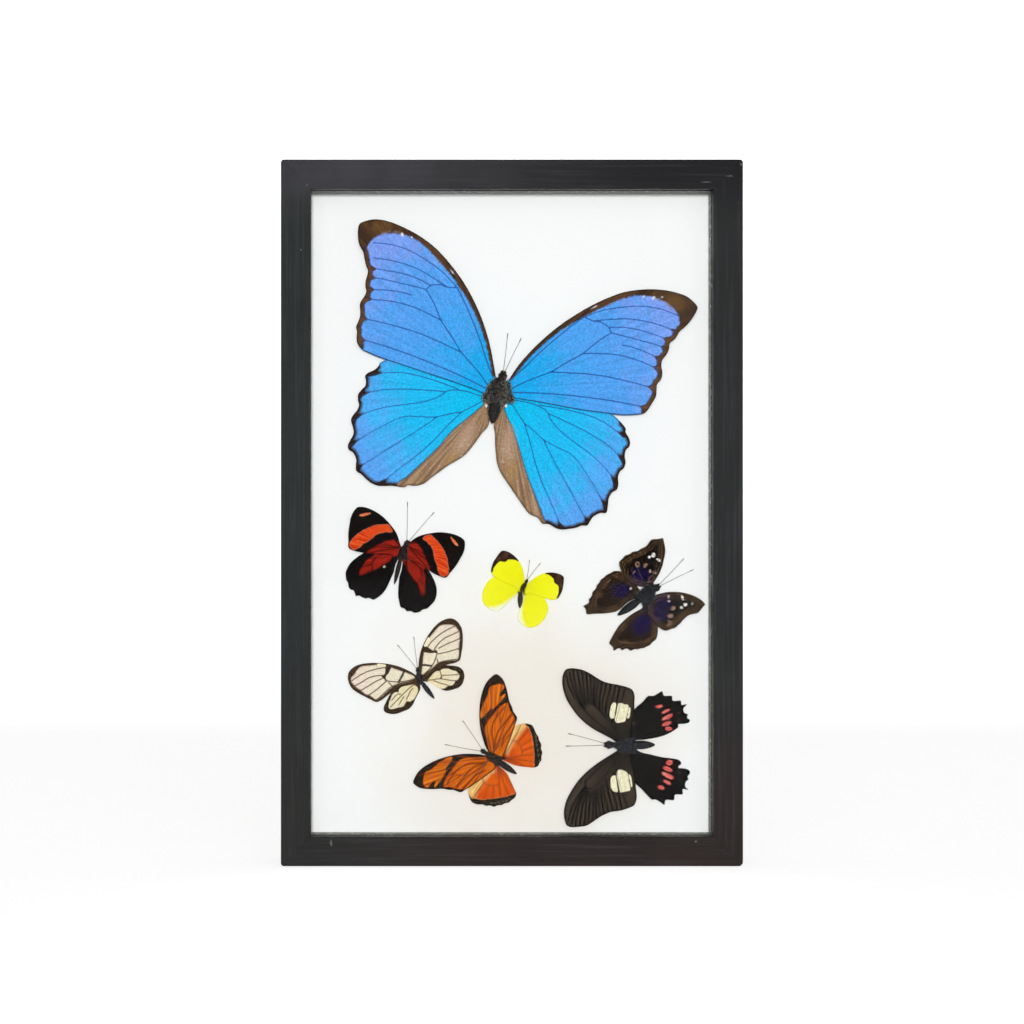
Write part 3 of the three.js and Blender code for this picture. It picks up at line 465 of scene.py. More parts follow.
@dataclass(frozen=True)
class Hardboard:
    """Brown pressed board with fine fibres."""

    def build(self) -> bpy.types.Material:
        """Make the material."""
        s = Shader("brown_hardboard")
        tint = s.mix(s.noise(0.8, 5, 0.7), rgb("6A4A30"), rgb("9A7650"))
        fibres = s.noise(700, 4, 0.7, s.stretched(1, 1, 0.15))
        tint = s.mix(s.span(fibres, 0.5, 0.72, 0.0, 0.6), tint, rgb("4C3422"))
        tint = s.mix(s.span(s.noise(35, 3), 0.4, 0.7, 0.0, 0.3), tint, rgb("A98A62"))
        return s.finish(s.principled(Base_Color=tint, Roughness=0.72, Normal=s.bump(fibres, 0.05)))


@dataclass(frozen=True)
class Metal:
    """Stamped metal with fine brushing and dull patches."""

    name: str
    light: str
    dark: str
    roughness: float = 0.32

    def build(self) -> bpy.types.Material:
        """Make the material."""
        s = Shader(self.name)
        patches = s.noise(2.2, 4, 0.65)
        tint = s.mix(s.span(patches, 0.3, 0.7), rgb(self.dark), rgb(self.light))
        scratches = s.noise(1200, 3, 0.7, s.stretched(1, 1, 0.06))
        rough = s.span(patches, 0.3, 0.7, self.roughness + 0.2, self.roughness)
        return s.finish(s.principled(Base_Color=tint, Metallic=1.0, Roughness=rough,
                                     Normal=s.bump(scratches, 0.01, 0.6)))


@dataclass(frozen=True)
class Pane:
    """Clear glass with a weak gloss and a few dust marks."""

    gloss: float = 0.13

    def build(self) -> bpy.types.Material:
        """Make the material."""
        s = Shader("clear_glass")
        smears = s.span(s.noise(25, 4, 0.6), 0.4, 0.75, 0.03, 0.12)
        shine = s.add("ShaderNodeBsdfGlossy", {}, {"Color": (1.0, 1.0, 1.0), "Roughness": smears})
        clear = s.add("ShaderNodeBsdfTransparent", {}, {"Color": (0.985, 0.99, 0.988)})
        facing = s.add("ShaderNodeFresnel", {}, {"IOR": 1.45}).outputs[0]
        share = s.math("MULTIPLY", facing, self.gloss)
        mixed = s.add("ShaderNodeMixShader", {}, {0: share, 1: clear.outputs[0], 2: shine.outputs[0]})
        return s.finish(mixed.outputs[0])


@dataclass(frozen=True)
class Layer:
    """One colour laid on a wing where a stored distance says so.

    The distance is in mm and positive inside the marking. The marking grows by grow, its
    border is soft and wanders by wobble. The second colour follows the wing's rays, and
    bands gives the distances and widths of lines that follow the stored distance.
    """

    mark: str
    colour: str
    grow: float = 0.0
    soft: float = 0.15
    wobble: float = 0.25
    strength: float = 1.0
    second: str = ""
    outside: bool = False
    bands: tuple[tuple[float, float], ...] = ()


@dataclass(frozen=True)
class WingPaint:
    """The colours of one species' wings, root to tip, with its layers of marks."""

    name: str
    root: str
    middle: str
    tip: str
    layers: tuple[Layer, ...]
    reach: float
    roughness: float = 0.55
    streak: float = 0.25
    speckle: float = 0.2
    clear: float = 0.0
    mottle: float = 0.12
    gloss: float = 0.05

    def build(self) -> bpy.types.Material:
        """Make the material."""
        s = Shader(self.name)
        far = s.math("MULTIPLY", s.attribute("root"), 1 / self.reach)
        along, across = s.math("MULTIPLY", far, 2.2), s.math("MULTIPLY", s.attribute("ray"), 34.0)
        rays = s.noise(1.0, 4, 0.6, s.joined(across, along, 0.0))
        cloud = s.noise(5, 3)
        scales = s.noise(0.16, 2, 0.6)
        wander = s.math("SUBTRACT", s.noise(0.9, 3, 0.6), 0.5)
        place = s.math("ADD", far, s.math("MULTIPLY", s.math("SUBTRACT", cloud, 0.5), 0.5))
        tint = s.mix(s.span(place, 0.05, 0.5), rgb(self.root), rgb(self.middle))
        tint = s.mix(s.span(place, 0.5, 0.95), tint, rgb(self.tip))
        solid = 1.0 - self.clear
        for layer in self.layers:
            depth = s.attribute(layer.mark)
            if layer.outside:
                depth = s.math("MULTIPLY", depth, -1.0)
            for number, (distance, width) in enumerate(layer.bands):
                off = s.math("ABSOLUTE", s.math("SUBTRACT", s.attribute(layer.mark), distance))
                band = s.math("SUBTRACT", width / 2, off)
                depth = s.math("MAXIMUM", depth, band) if number else band
            depth = s.math("ADD", depth, s.math("MULTIPLY", wander, 2 * layer.wobble))
            mask = s.span(depth, -layer.grow - layer.soft, -layer.grow + layer.soft, 0.0, layer.strength)
            colour = rgb(layer.colour)
            if layer.second:
                colour = s.mix(s.span(rays, 0.35, 0.65), colour, rgb(layer.second))
            tint = s.mix(mask, tint, colour)
            if self.clear:
                solid = s.math("MAXIMUM", solid, mask)
        darker = s.mix(1.0, tint, (0.55, 0.55, 0.55), "MULTIPLY")
        tint = s.mix(s.span(rays, 0.3, 0.7, self.streak, 0.0), tint, darker)
        ripple = s.span(s.noise(0.75, 2, 0.6), 0.3, 0.7, 1 - self.mottle, 1 + self.mottle)
        dots = s.span(scales, 0.35, 0.65, 1 - self.speckle, 1 + self.speckle * 0.6)
        dots = s.math("MULTIPLY", dots, ripple)
        tint = s.mix(1.0, tint, s.joined(dots, dots, dots), "MULTIPLY")
        relief = s.math("ADD", scales, s.math("MULTIPLY", rays, 0.6))
        surface = s.principled(
            Base_Color=tint, Roughness=self.roughness, Alpha=solid,
            Specular_IOR_Level=self.gloss, Normal=s.bump(relief, 0.04, 0.6))
        return s.finish(surface)


@dataclass(frozen=True)
class VeinPaint:
    """The dark skin of wing veins."""

    name: str
    colour: str
    light: str

    def build(self) -> bpy.types.Material:
        """Make the material."""
        s = Shader(self.name)
        tint = s.mix(s.noise(0.8, 3), rgb(self.colour), rgb(self.light))
        return s.finish(s.principled(Base_Color=tint, Roughness=0.5, Normal=s.bump(s.noise(0.1), 0.01)))


@dataclass(frozen=True)
class BodySkin:
    """Hairy insect skin: dark, mottled and faintly banded along the abdomen."""

    name: str
    dark: str
    light: str
    band: str

    def build(self) -> bpy.types.Material:
        """Make the material."""
        s = Shader(self.name)
        tint = s.mix(s.span(s.noise(0.5, 4, 0.7), 0.4, 0.72), rgb(self.dark), rgb(self.light))
        tint = s.mix(s.math("MULTIPLY", s.attribute("band"), 0.6), tint, rgb(self.band))
        return s.finish(s.principled(Base_Color=tint, Roughness=0.5, Specular_IOR_Level=0.3,
                                     Normal=s.bump(s.noise(0.15, 3), 0.05)))


@dataclass(frozen=True)
class Hair:
    """Fine hairs in two colours that change from patch to patch."""

    name: str
    dark: str
    light: str

    def build(self) -> bpy.types.Material:
        """Make the material."""
        s = Shader(self.name)
        tint = s.mix(s.span(s.noise(0.7, 3, 0.6), 0.46, 0.56), rgb(self.dark), rgb(self.light))
        return s.finish(s.principled(Base_Color=tint, Roughness=0.45, Specular_IOR_Level=0.3))


@dataclass(frozen=True)
class Eye:
    """Dark glossy eyes with fine facets."""

    def build(self) -> bpy.types.Material:
        """Make the material."""
        s = Shader("insect_eye")
        cells = s.add("ShaderNodeTexVoronoi", {}, {"Vector": s.place, "Scale": 9000.0}).outputs["Distance"]
        tint = s.mix(s.noise(0.5, 2), rgb("1A120E"), rgb("3A2A20"))
        return s.finish(s.principled(Base_Color=tint, Roughness=0.25, Normal=s.bump(cells, 0.02)))


# Node trees


class NodeTree(Nodes):
    """The nodes of one geometry node tree."""

    def __init__(self, name: str, inputs: Sequence[tuple[str, str, Value]]) -> None:
        """Start a tree with a geometry input, some named inputs and a geometry output."""
        self.tree = bpy.data.node_groups.new(name, "GeometryNodeTree")
        face = self.tree.interface
        face.new_socket("Geometry", in_out="INPUT", socket_type="NodeSocketGeometry")
        face.new_socket("Geometry", in_out="OUTPUT", socket_type="NodeSocketGeometry")
        for label, kind, value in inputs:
            made = face.new_socket(label, in_out="INPUT", socket_type=kind)
            if value is not None:
                made.default_value = value
        self.start = self.tree.nodes.new("NodeGroupInput")
        self.end = self.tree.nodes.new("NodeGroupOutput")

    def given(self, label: str) -> bpy.types.NodeSocket:
        """Return one of the tree's own inputs."""
        return self.start.outputs[label]

    def number(self, name: str) -> bpy.types.NodeSocket:
        """Read a number stored on the geometry."""
        return self.add("GeometryNodeInputNamedAttribute", {"data_type": "FLOAT"}, {"Name": name}).outputs[0]

    def vector(self, operation: str, *values: Value) -> bpy.types.NodeSocket:
        """Calculate with vectors."""
        return self.add("ShaderNodeVectorMath", {"operation": operation}, dict(enumerate(values))).outputs[0]

    def join(self, *parts: bpy.types.NodeSocket) -> bpy.types.NodeSocket:
        """Join geometry."""
        node = self.tree.nodes.new("GeometryNodeJoinGeometry")
        for part in parts:
            self.tree.links.new(part, node.inputs[0])
        return node.outputs[0]

    def finish(self, geometry: bpy.types.NodeSocket) -> bpy.types.NodeTree:
        """Send the geometry out and return the tree."""
        self.tree.links.new(geometry, self.end.inputs[0])
        return self.tree


def apply_tree(made: bpy.types.Object, tree: bpy.types.NodeTree, values: dict[str, Value]) -> None:
    """Run a node tree on an object and keep the result as its mesh.

    Args:
        made: The object.
        tree: The geometry node tree.
        values: The tree's inputs by name.
    """
    modifier = made.modifiers.new("shape", "NODES")
    modifier.node_group = tree
    for item in tree.interface.items_tree:
        if item.item_type == "SOCKET" and item.in_out == "INPUT" and item.name in values:
            modifier[item.identifier] = values[item.name]
    bake_modifiers(made)


def tube_tree() -> bpy.types.NodeTree:
    """Make the tree that turns loose lines with a thickness into round tubes."""
    t = NodeTree("tubes", [("Tube finish", "NodeSocketMaterial", None), ("Sides", "NodeSocketInt", 6)])
    radius = t.number("tube")
    is_line = t.math("GREATER_THAN", radius, 0.0)
    parts = t.add("GeometryNodeSeparateGeometry", {"domain": "POINT"}, {0: t.given("Geometry"), 1: is_line})
    curve = t.add("GeometryNodeMeshToCurve", {}, {0: parts.outputs[0]})
    ring = t.add("GeometryNodeCurvePrimitiveCircle", {}, {"Resolution": t.given("Sides"), "Radius": 1.0})
    tube = t.add("GeometryNodeCurveToMesh", {},
                 {0: curve.outputs[0], 1: ring.outputs[0], "Scale": radius, "Fill Caps": True})
    smooth = t.add("GeometryNodeSetShadeSmooth", {}, {0: tube.outputs[0]})
    finish = t.add("GeometryNodeSetMaterial", {}, {0: smooth.outputs[0], "Material": t.given("Tube finish")})
    return t.finish(t.join(parts.outputs[1], finish.outputs[0]))


def fur_tree() -> bpy.types.NodeTree:
    """Make the tree that grows short bent hairs on a body."""
    t = NodeTree("fur", [
        ("Hair finish", "NodeSocketMaterial", None), ("Density", "NodeSocketFloat", 2e7),
        ("Length", "NodeSocketFloat", 0.001), ("Thickness", "NodeSocketFloat", 0.00003),
        ("Lean", "NodeSocketVector", (0.0, 0.0, 0.0)), ("Seed", "NodeSocketInt", 1),
    ])
    fur = t.number("fur")
    density = t.math("MULTIPLY", t.given("Density"), t.math("GREATER_THAN", fur, 0.05))
    spread = t.add("GeometryNodeDistributePointsOnFaces", {},
                   {0: t.given("Geometry"), "Density": density, "Seed": t.given("Seed")})
    cone = t.add("GeometryNodeMeshCone", {}, {
        "Vertices": 3, "Side Segments": 2, "Radius Top": 0.0, "Radius Bottom": t.given("Thickness"),
        "Depth": t.given("Length")})
    place = t.add("GeometryNodeInputPosition", {}, {}).outputs[0]
    height = t.add("ShaderNodeSeparateXYZ", {}, {0: place}).outputs[2]
    share = t.math("DIVIDE", height, t.given("Length"))
    bend = t.math("MULTIPLY", t.math("MULTIPLY", share, share), t.math("MULTIPLY", t.given("Length"), 0.3))
    offset = t.add("ShaderNodeCombineXYZ", {}, {0: bend}).outputs[0]
    hair = t.add("GeometryNodeSetPosition", {}, {0: cone.outputs[0], "Offset": offset})
    jitter = t.add("FunctionNodeRandomValue", {"data_type": "FLOAT_VECTOR"},
                   {0: (-0.5, -0.5, -0.5), 1: (0.5, 0.5, 0.5), "Seed": t.given("Seed")}).outputs[0]
    aim = t.vector("ADD", t.vector("ADD", spread.outputs["Normal"], t.given("Lean")), jitter)
    turn = t.add("FunctionNodeAlignRotationToVector", {"axis": "Z"}, {"Vector": aim})
    size = t.add("FunctionNodeRandomValue", {"data_type": "FLOAT"},
                 {2: 0.55, 3: 1.25, "Seed": t.given("Seed")}).outputs[1]
    scale = t.math("MULTIPLY", size, fur)
    laid = t.add("GeometryNodeInstanceOnPoints", {}, {
        0: spread.outputs[0], "Instance": hair.outputs[0], "Rotation": turn.outputs[0], "Scale": scale})
    real = t.add("GeometryNodeRealizeInstances", {}, {0: laid.outputs[0]})
    finish = t.add("GeometryNodeSetMaterial", {}, {0: real.outputs[0], "Material": t.given("Hair finish")})
    return t.finish(t.join(t.given("Geometry"), finish.outputs[0]))


def repeat_tree() -> bpy.types.NodeTree:
    """Make the tree that sets one turned head on every marked point."""
    t = NodeTree("heads", [
        ("Head", "NodeSocketObject", None), ("Finish", "NodeSocketMaterial", None),
    ])
    head = t.add("GeometryNodeObjectInfo", {}, {0: t.given("Head")})
    points = t.add("GeometryNodeMeshToPoints", {}, {0: t.given("Geometry")})
    laid = t.add("GeometryNodeInstanceOnPoints", {},
                 {0: points.outputs[0], "Instance": head.outputs["Geometry"]})
    real = t.add("GeometryNodeRealizeInstances", {}, {0: laid.outputs[0]})
    finish = t.add("GeometryNodeSetMaterial", {}, {0: real.outputs[0], "Material": t.given("Finish")})
    return t.finish(finish.outputs[0])


# The frame and what it holds


@dataclass(frozen=True)
class FrameSizes:
    """Sizes of the wooden frame in mm."""

    width: float = 170.0
    height: float = 260.0
    front: float = -12.5
    back: float = 12.5
    face: float = 11.0
    lip: float = 3.0
    lip_depth: float = 2.5
    joint: float = 0.06
    corner: float = 1.1
    worn_corner: float = 1.6

    @property
    def middle(self) -> float:
        """The height of the frame's middle."""
        return self.height / 2


def rounded_loop(corners: Sequence[tuple[float, float, float]], step: float) -> np.ndarray:
    """Round the corners of a closed outline and add points along its sides.

    Args:
        corners: Each corner's two coordinates and its radius.
        step: The longest side between two points.

    Returns:
        The points, one a row.
    """
    points = []
    count = len(corners)
    for k, (x, y, radius) in enumerate(corners):
        here = np.array([x, y])
        before = np.array(corners[k - 1][:2]) - here
        after = np.array(corners[(k + 1) % count][:2]) - here
        before, after = before / np.linalg.norm(before), after / np.linalg.norm(after)
        start, end = here + before * radius, here + after * radius
        if radius == 0:
            points.append(here)
            continue
        for share in np.linspace(0, 1, 5):
            bend = (1 - share) ** 2 * start + 2 * share * (1 - share) * here + share**2 * end
            points.append(bend)
    filled = []
    for a, b in zip(points, points[1:] + points[:1]):
        parts = max(1, int(np.linalg.norm(b - a) / step))
        filled += [a + (b - a) * k / parts for k in range(parts)]
    return np.array(filled)


@dataclass(frozen=True)
class Rail:
    """One mitred side of the wooden frame."""

    side: str
    turn: int
    length: float
    sizes: FrameSizes = field(default_factory=FrameSizes)

    def section(self) -> np.ndarray:
        """Give the rail's section: the way in from the outer edge, and the depth."""
        f = self.sizes
        rabbet = f.face - f.lip
        corners = [
            (0.0, f.front, 0.7), (f.face, f.front, 0.55), (f.face, f.front + f.lip_depth, 0.25),
            (rabbet, f.front + f.lip_depth, 0.0), (rabbet, f.back, 0.35), (0.0, f.back, 0.7),
        ]
        return rounded_loop(corners, 1.4)

    def stations(self) -> np.ndarray:
        """Give the places along the rail as shares from -1 to 1."""
        half = self.length / 2
        ends = 1 - np.array([0.0, 0.3, 0.6, 0.9, 1.2, 1.6, 2.2, 3.2, 5.0, 8.0]) / half
        middle = np.linspace(-ends[-1], ends[-1], int(self.length / 6))[1:-1]
        return np.concatenate([-ends, middle, ends[::-1]])

    def corner_radius(self, share: np.ndarray) -> np.ndarray:
        """Give the outer corner's radius; one corner of the frame is worn rounder."""
        f = self.sizes
        worn = {"bottom": share > 0, "right": share < 0}.get(self.side, share > 2)
        return np.where(worn, f.worn_corner, f.corner)

    def points(self) -> tuple[np.ndarray, np.ndarray]:
        """Give the rail's points along, inwards and back, and each one's way to an edge."""
        f = self.sizes
        section, stations = self.section(), self.stations()
        edges = np.array([[0.0, f.front], [f.face, f.front], [0.0, f.back]])
        worn = np.min(np.linalg.norm(section[:, None] - edges[None], axis=2), axis=1)
        share = np.repeat(stations, len(section))
        inward = np.tile(section[:, 0], len(stations))
        depth = np.tile(section[:, 1], len(stations))
        reach = self.length / 2
        run = share * (reach - inward - f.joint / 2)
        free = 1 - share**4
        depth = depth + 0.03 * free * np.sin(run / 17 + self.turn)
        inward = inward + 0.035 * free * np.sin(run / 26 + 2 * self.turn) * (inward > 2)
        radius = self.corner_radius(share)
        a = (np.abs(run) + f.joint / 2 - (reach - radius)) / radius
        b = (radius - inward) / radius
        turned = (a > 0) & (b > 0)
        most = np.maximum(a, b)
        length = np.maximum(np.hypot(a, b), 1e-9)
        new_a, new_b = most * a / length, most * b / length
        run = np.where(turned, np.sign(run) * (reach - radius + new_a * radius - f.joint / 2), run)
        inward = np.where(turned, radius - new_b * radius, inward)
        return np.column_stack([run, inward, depth]), np.tile(worn, len(stations))

    def build(self, finish: bpy.types.Material) -> bpy.types.Object:
        """Make the rail with rounded edges and mitred ends."""
        f = self.sizes
        points, worn = self.points()
        run, inward, depth = points.T
        angle = self.turn * math.pi / 2
        outer = f.middle if self.turn % 2 == 0 else f.width / 2
        local_z = inward - outer
        x = run * math.cos(angle) - local_z * math.sin(angle)
        z = run * math.sin(angle) + local_z * math.cos(angle) + f.middle
        around, rings = len(self.section()), len(self.stations())
        faces = grid_faces(rings, around, True)
        faces += [list(range(around)), list(range((rings - 1) * around, rings * around))[::-1]]
        places = (np.column_stack([x, depth, z]) * MM).tolist()
        made = make_object(f"frame_rail_{self.side}", places, faces, finish)
        set_attribute(made.data, "edge", worn)
        set_attribute(made.data, "upright", [float(self.turn % 2)] * len(x))
        turn_outward(made.data)
        smooth_by_angle(made)
        return hand_over(made, [f"rail_{self.side}"])


def turn_outward(mesh: bpy.types.Mesh) -> None:
    """Turn all faces of a closed mesh outward."""
    shape = bmesh.new()
    shape.from_mesh(mesh)
    bmesh.ops.recalc_face_normals(shape, faces=shape.faces)
    shape.to_mesh(mesh)
    shape.free()


def smooth_by_angle(made: bpy.types.Object, limit: float = 40.0) -> None:
    """Smooth a mesh but keep its edges sharper than a limit in degrees."""
    mesh = made.data
    shade_smooth(mesh)
    mesh.set_sharp_from_angle(angle=math.radians(limit))


def round_edges(made: bpy.types.Object) -> None:
    """Round the edges of a thin stamped piece."""
    bevel = made.modifiers.new("edge", "BEVEL")
    bevel.width, bevel.segments, bevel.limit_method = 0.12 * MM, 2, "ANGLE"


def block(name: str, low: Sequence[float], high: Sequence[float], radius: float) -> bpy.types.Mesh:
    """Make a block with rounded edges.

    Args:
        name: The mesh's name.
        low: Its lowest corner in mm.
        high: Its highest corner in mm.
        radius: The radius of its edges in mm.

    Returns:
        The mesh in metres.
    """
    shape = bmesh.new()
    bmesh.ops.create_cube(shape, size=1.0)
    low, high = np.array(low), np.array(high)
    for vertex in shape.verts:
        vertex.co = Vector(((low + high) / 2 + np.array(vertex.co) * (high - low)) * MM)
    longest = int(np.argmax(high - low))
    for _ in range(4):
        long_edges = [e for e in shape.edges
                      if abs((e.verts[0].co - e.verts[1].co)[longest]) > 0.02]
        bmesh.ops.subdivide_edges(shape, edges=long_edges, cuts=1, use_grid_fill=True)
    sharp = [e for e in shape.edges if e.calc_face_angle(0.0) > 0.5]
    bmesh.ops.bevel(shape, geom=sharp, offset=radius * MM, segments=3, affect="EDGES", profile=0.6)
    mesh = bpy.data.meshes.new(name)
    shape.to_mesh(mesh)
    shape.free()
    return mesh


@dataclass(frozen=True)
class Filling:
    """The flat parts in the frame: glass, spacer strips, white board and back board."""

    half_width: float = 76.7
    low: float = 8.3
    high: float = 251.7
    strip: float = 2.7
    gap: float = 0.3
    glass: Point = (-9.7, -7.7)
    spacers: Point = (-7.4, -0.8)
    board: Point = (-0.5, 2.5)
    back_board: Point = (2.8, 5.2)

    def part(self, name: str, node: str, slot: str, box: tuple[Point, Point, Point], radius: float,
             finish: bpy.types.Material) -> None:
        """Make one flat part.

        Args:
            name: The piece's name.
            node: The solid that it stands for.
            slot: Not used.
            box: Where it begins and ends across, in depth and in height.
            radius: The radius of its edges.
            finish: Its material.
        """
        mesh = block(name, *zip(*box), radius)
        mesh.materials.append(finish)
        made = new_object(name, mesh)
        smooth_by_angle(made)
        hand_over(made, [node])

    def build(self) -> None:
        """Make every flat part."""
        wide, tall = (-self.half_width, self.half_width), (self.low, self.high)
        self.part("pane_of_glass", "glass_pane", "clear_glass", (wide, self.glass, tall), 0.15,
                  Pane().build())
        self.part("display_board", "mount_board", "white_board", (wide, self.board, tall), 0.25,
                  BoardPaper().build())
        self.part("hardboard_back", "back_board", "brown_board", (wide, self.back_board, tall), 0.3,
                  Hardboard().build())
        finish, inner = SpacerPaint().build(), self.half_width - self.strip
        low, high = self.low + self.strip, self.high - self.strip
        between = (low + self.gap, high - self.gap)
        strips = {"top": (wide, (high, self.high)), "bottom": (wide, (self.low, low)),
                  "left": ((-self.half_width, -inner), between), "right": ((inner, self.half_width), between)}
        for side, (across, up) in strips.items():
            box = (across, self.spacers, up)
            self.part(f"spacer_strip_{side}", f"spacer_{side}", "spacer_paint", box, 0.2, finish)


@dataclass(frozen=True)
class RetainingPoints:
    """Thin steel points pressed into the rails to hold the back board."""

    outer: float = 79.2
    length: float = 14.0
    half_width: float = 3.0
    front: float = 5.5
    thickness: float = 0.6
    heights: Point = (60.0, 200.0)

    def outline(self, side: int, height: float) -> np.ndarray:
        """Give the outline of one point, its tip towards the board's middle."""
        tip = self.outer - self.length
        corners = [
            (self.outer, height - self.half_width, 0.3), (self.outer, height + self.half_width, 0.3),
            (tip + self.half_width, height + self.half_width, 0.6), (tip, height, 0.4),
            (tip + self.half_width, height - self.half_width, 0.6),
        ]
        loop = rounded_loop(corners, 1.0)
        loop[:, 0] *= side
        return loop if side > 0 else loop[::-1]

    def build(self) -> None:
        """Make the four points."""
        steel = Metal("point_steel", "B8B8B4", "7C7C7A", 0.35).build()
        places = [(-1, self.heights[0]), (-1, self.heights[1]), (1, self.heights[0]), (1, self.heights[1])]
        for number, (side, height) in enumerate(places, 1):
            loop = self.outline(side, height)
            count = len(loop)
            front = [(x * MM, self.front * MM, z * MM) for x, z in loop]
            back = [(x * MM, (self.front + self.thickness) * MM, z * MM) for x, z in loop]
            faces = [list(range(count)), list(range(count, 2 * count))[::-1], *grid_faces(2, count, True)]
            made = make_object(f"steel_point_{number}", front + back, faces, steel)
            turn_outward(made.data)
            round_edges(made)
            bake_modifiers(made)
            smooth_by_angle(made)
            hand_over(made, [f"retaining_point_{number}"])


@dataclass(frozen=True)
class Hanger:
    """The folded brass strap, its ring and two rivets on the back."""

    bar_height: float = 216.0
    foot: float = 5.5
    wire: float = 1.4
    ring_radius: float = 7.8
    strap_width: float = 9.0
    strap_thickness: float = 0.8
    strap_end: float = 199.0
    loop_middle: float = 7.59
    rivet_radius: float = 1.8
    rivet_height: float = 0.88
    rivet_heights: Point = (208.0, 202.0)

    def build(self, tubes: bpy.types.NodeTree) -> None:
        """Make the hanger's pieces."""
        brass = Metal("hanger_metal", "C9A24A", "8C6A2A", 0.28).build()
        self.build_ring(brass, tubes)
        self.build_strap(brass)
        self.build_rivets(brass)

    def build_ring(self, brass: bpy.types.Material, tubes: bpy.types.NodeTree) -> None:
        """Make the wire ring with its straight bar."""
        centre = self.bar_height + self.wire / 2
        arc = [(self.ring_radius * math.cos(a), centre + self.ring_radius * math.sin(a))
               for a in np.linspace(0, math.pi, 40)]
        bar = [(x, self.bar_height) for x in np.linspace(-self.ring_radius + 0.5, self.ring_radius - 0.5, 16)]
        loop = arc + bar
        points = [(x * MM, self.loop_middle * MM, z * MM) for x, z in loop]
        count = len(points)
        made = make_object("brass_ring", points, [], edges=[(k, (k + 1) % count) for k in range(count)])
        set_attribute(made.data, "tube", [self.wire / 2 * MM] * count)
        apply_tree(made, tubes, {"Tube finish": brass, "Sides": 20})
        hand_over(made, ["hanger_ring"])

    def build_strap(self, brass: bpy.types.Material) -> None:
        """Make the strap, folded round the ring's bar."""
        half = self.strap_thickness / 2
        inner, outer = self.foot + half, self.foot + 3 * half + 0.02
        bend = self.loop_middle - inner
        path = [(self.strap_end + k, inner) for k in np.linspace(0, self.bar_height - self.strap_end, 14)]
        path += [(self.bar_height + bend * math.sin(a), self.loop_middle - bend * math.cos(a))
                 for a in np.linspace(0.2, math.pi + 0.5, 18)]
        path += [(self.bar_height - 3.6, outer + 0.35), (self.bar_height - 4.6, outer)]
        path += [(k, outer) for k in np.linspace(self.bar_height - 6, self.strap_end, 12)]
        shares = np.linspace(-1, 1, 9)
        points = []
        for z, y in path:
            for share in shares:
                corner = max(0.0, abs(share) - 0.7) / 0.3
                drop = 1.3 * (1 - math.sqrt(max(0.0, 1 - corner**2)))
                points.append((share * (self.strap_width / 2 - 0.05) * MM, y * MM,
                               max(z, self.strap_end + drop + 0.05) * MM))
        made = make_object("brass_strap", points, grid_faces(len(path), len(shares), False), brass)
        solid = made.modifiers.new("thickness", "SOLIDIFY")
        solid.thickness, solid.offset = (self.strap_thickness - 0.04) * MM, 0.0
        round_edges(made)
        bake_modifiers(made)
        turn_outward(made.data)
        smooth_by_angle(made)
        hand_over(made, ["hanger_strap"])

    def rivet_head(self) -> bpy.types.Object:
        """Make one domed rivet head round the origin, its top towards +Y."""
        rings, sides = 7, 24
        profile = [(self.rivet_radius * math.cos(a), self.rivet_height * (0.25 + 0.75 * math.sin(a)))
                   for a in np.linspace(0, math.pi / 2, rings)][:-1]
        profile = [(self.rivet_radius, 0.0)] + profile
        points = [(r * math.cos(t) * MM, y * MM, r * math.sin(t) * MM)
                  for r, y in profile for t in np.linspace(0, 2 * math.pi, sides, endpoint=False)]
        points.append((0.0, self.rivet_height * MM, 0.0))
        faces = grid_faces(len(profile), sides, True)
        last = (len(profile) - 1) * sides
        faces += [[last + k, last + (k + 1) % sides, len(points) - 1] for k in range(sides)]
        faces.append(list(range(sides)))
        made = make_object("rivet_head_shape", points, faces)
        turn_outward(made.data)
        return made

    def build_rivets(self, brass: bpy.types.Material) -> None:
        """Set both rivets on the strap."""
        head = self.rivet_head()
        foot = self.foot + 2 * self.strap_thickness + 0.3
        places = [(0.0, foot * MM, height * MM) for height in self.rivet_heights]
        made = make_object("brass_rivets", places, [])
        apply_tree(made, repeat_tree(), {"Head": head, "Finish": brass})
        bpy.data.objects.remove(head)
        smooth_by_angle(made)
        hand_over(made, ["hanger_rivet_upper", "hanger_rivet_lower"])


# The butterflies


class Side(Enum):
    """The side of a butterfly, by its own left and right; the value turns the wing."""

    LEFT = -1
    RIGHT = 1


@dataclass(frozen=True)
class WingPlace:
    """Where a wing's root lies on the board in mm, and which way its length points."""

    x: float
    z: float
    angle: float
    scale: float = 1.0


@dataclass(frozen=True)
class Marks:
    """What is drawn on a wing, in mm from its root: along, and across towards the head.

    Loops are closed areas, spots are ovals with a length, a width and a tilt, and lines are
    strokes. The rim runs round the outer edge from one point to another, with teeth at veins.
    """

    loops: dict[str, Sequence[Sequence[Point]]] = field(default_factory=dict)
    spots: dict[str, Sequence[tuple[float, float, float, float, float]]] = field(default_factory=dict)
    lines: dict[str, Sequence[Sequence[Point]]] = field(default_factory=dict)
    veins: Sequence[Sequence[Point]] = ()
    rim: tuple[Point, Point] | None = None
    rim_width: float = 0.8
    tooth: float = 0.0


@dataclass(frozen=True)
class WingStyle:
    """How fine and how thick a species' wings are."""

    spacing: float = 0.34
    shell: float = 0.1
    vein: float = 0.09
    wave: float = 0.07
    vein_count: int = 8


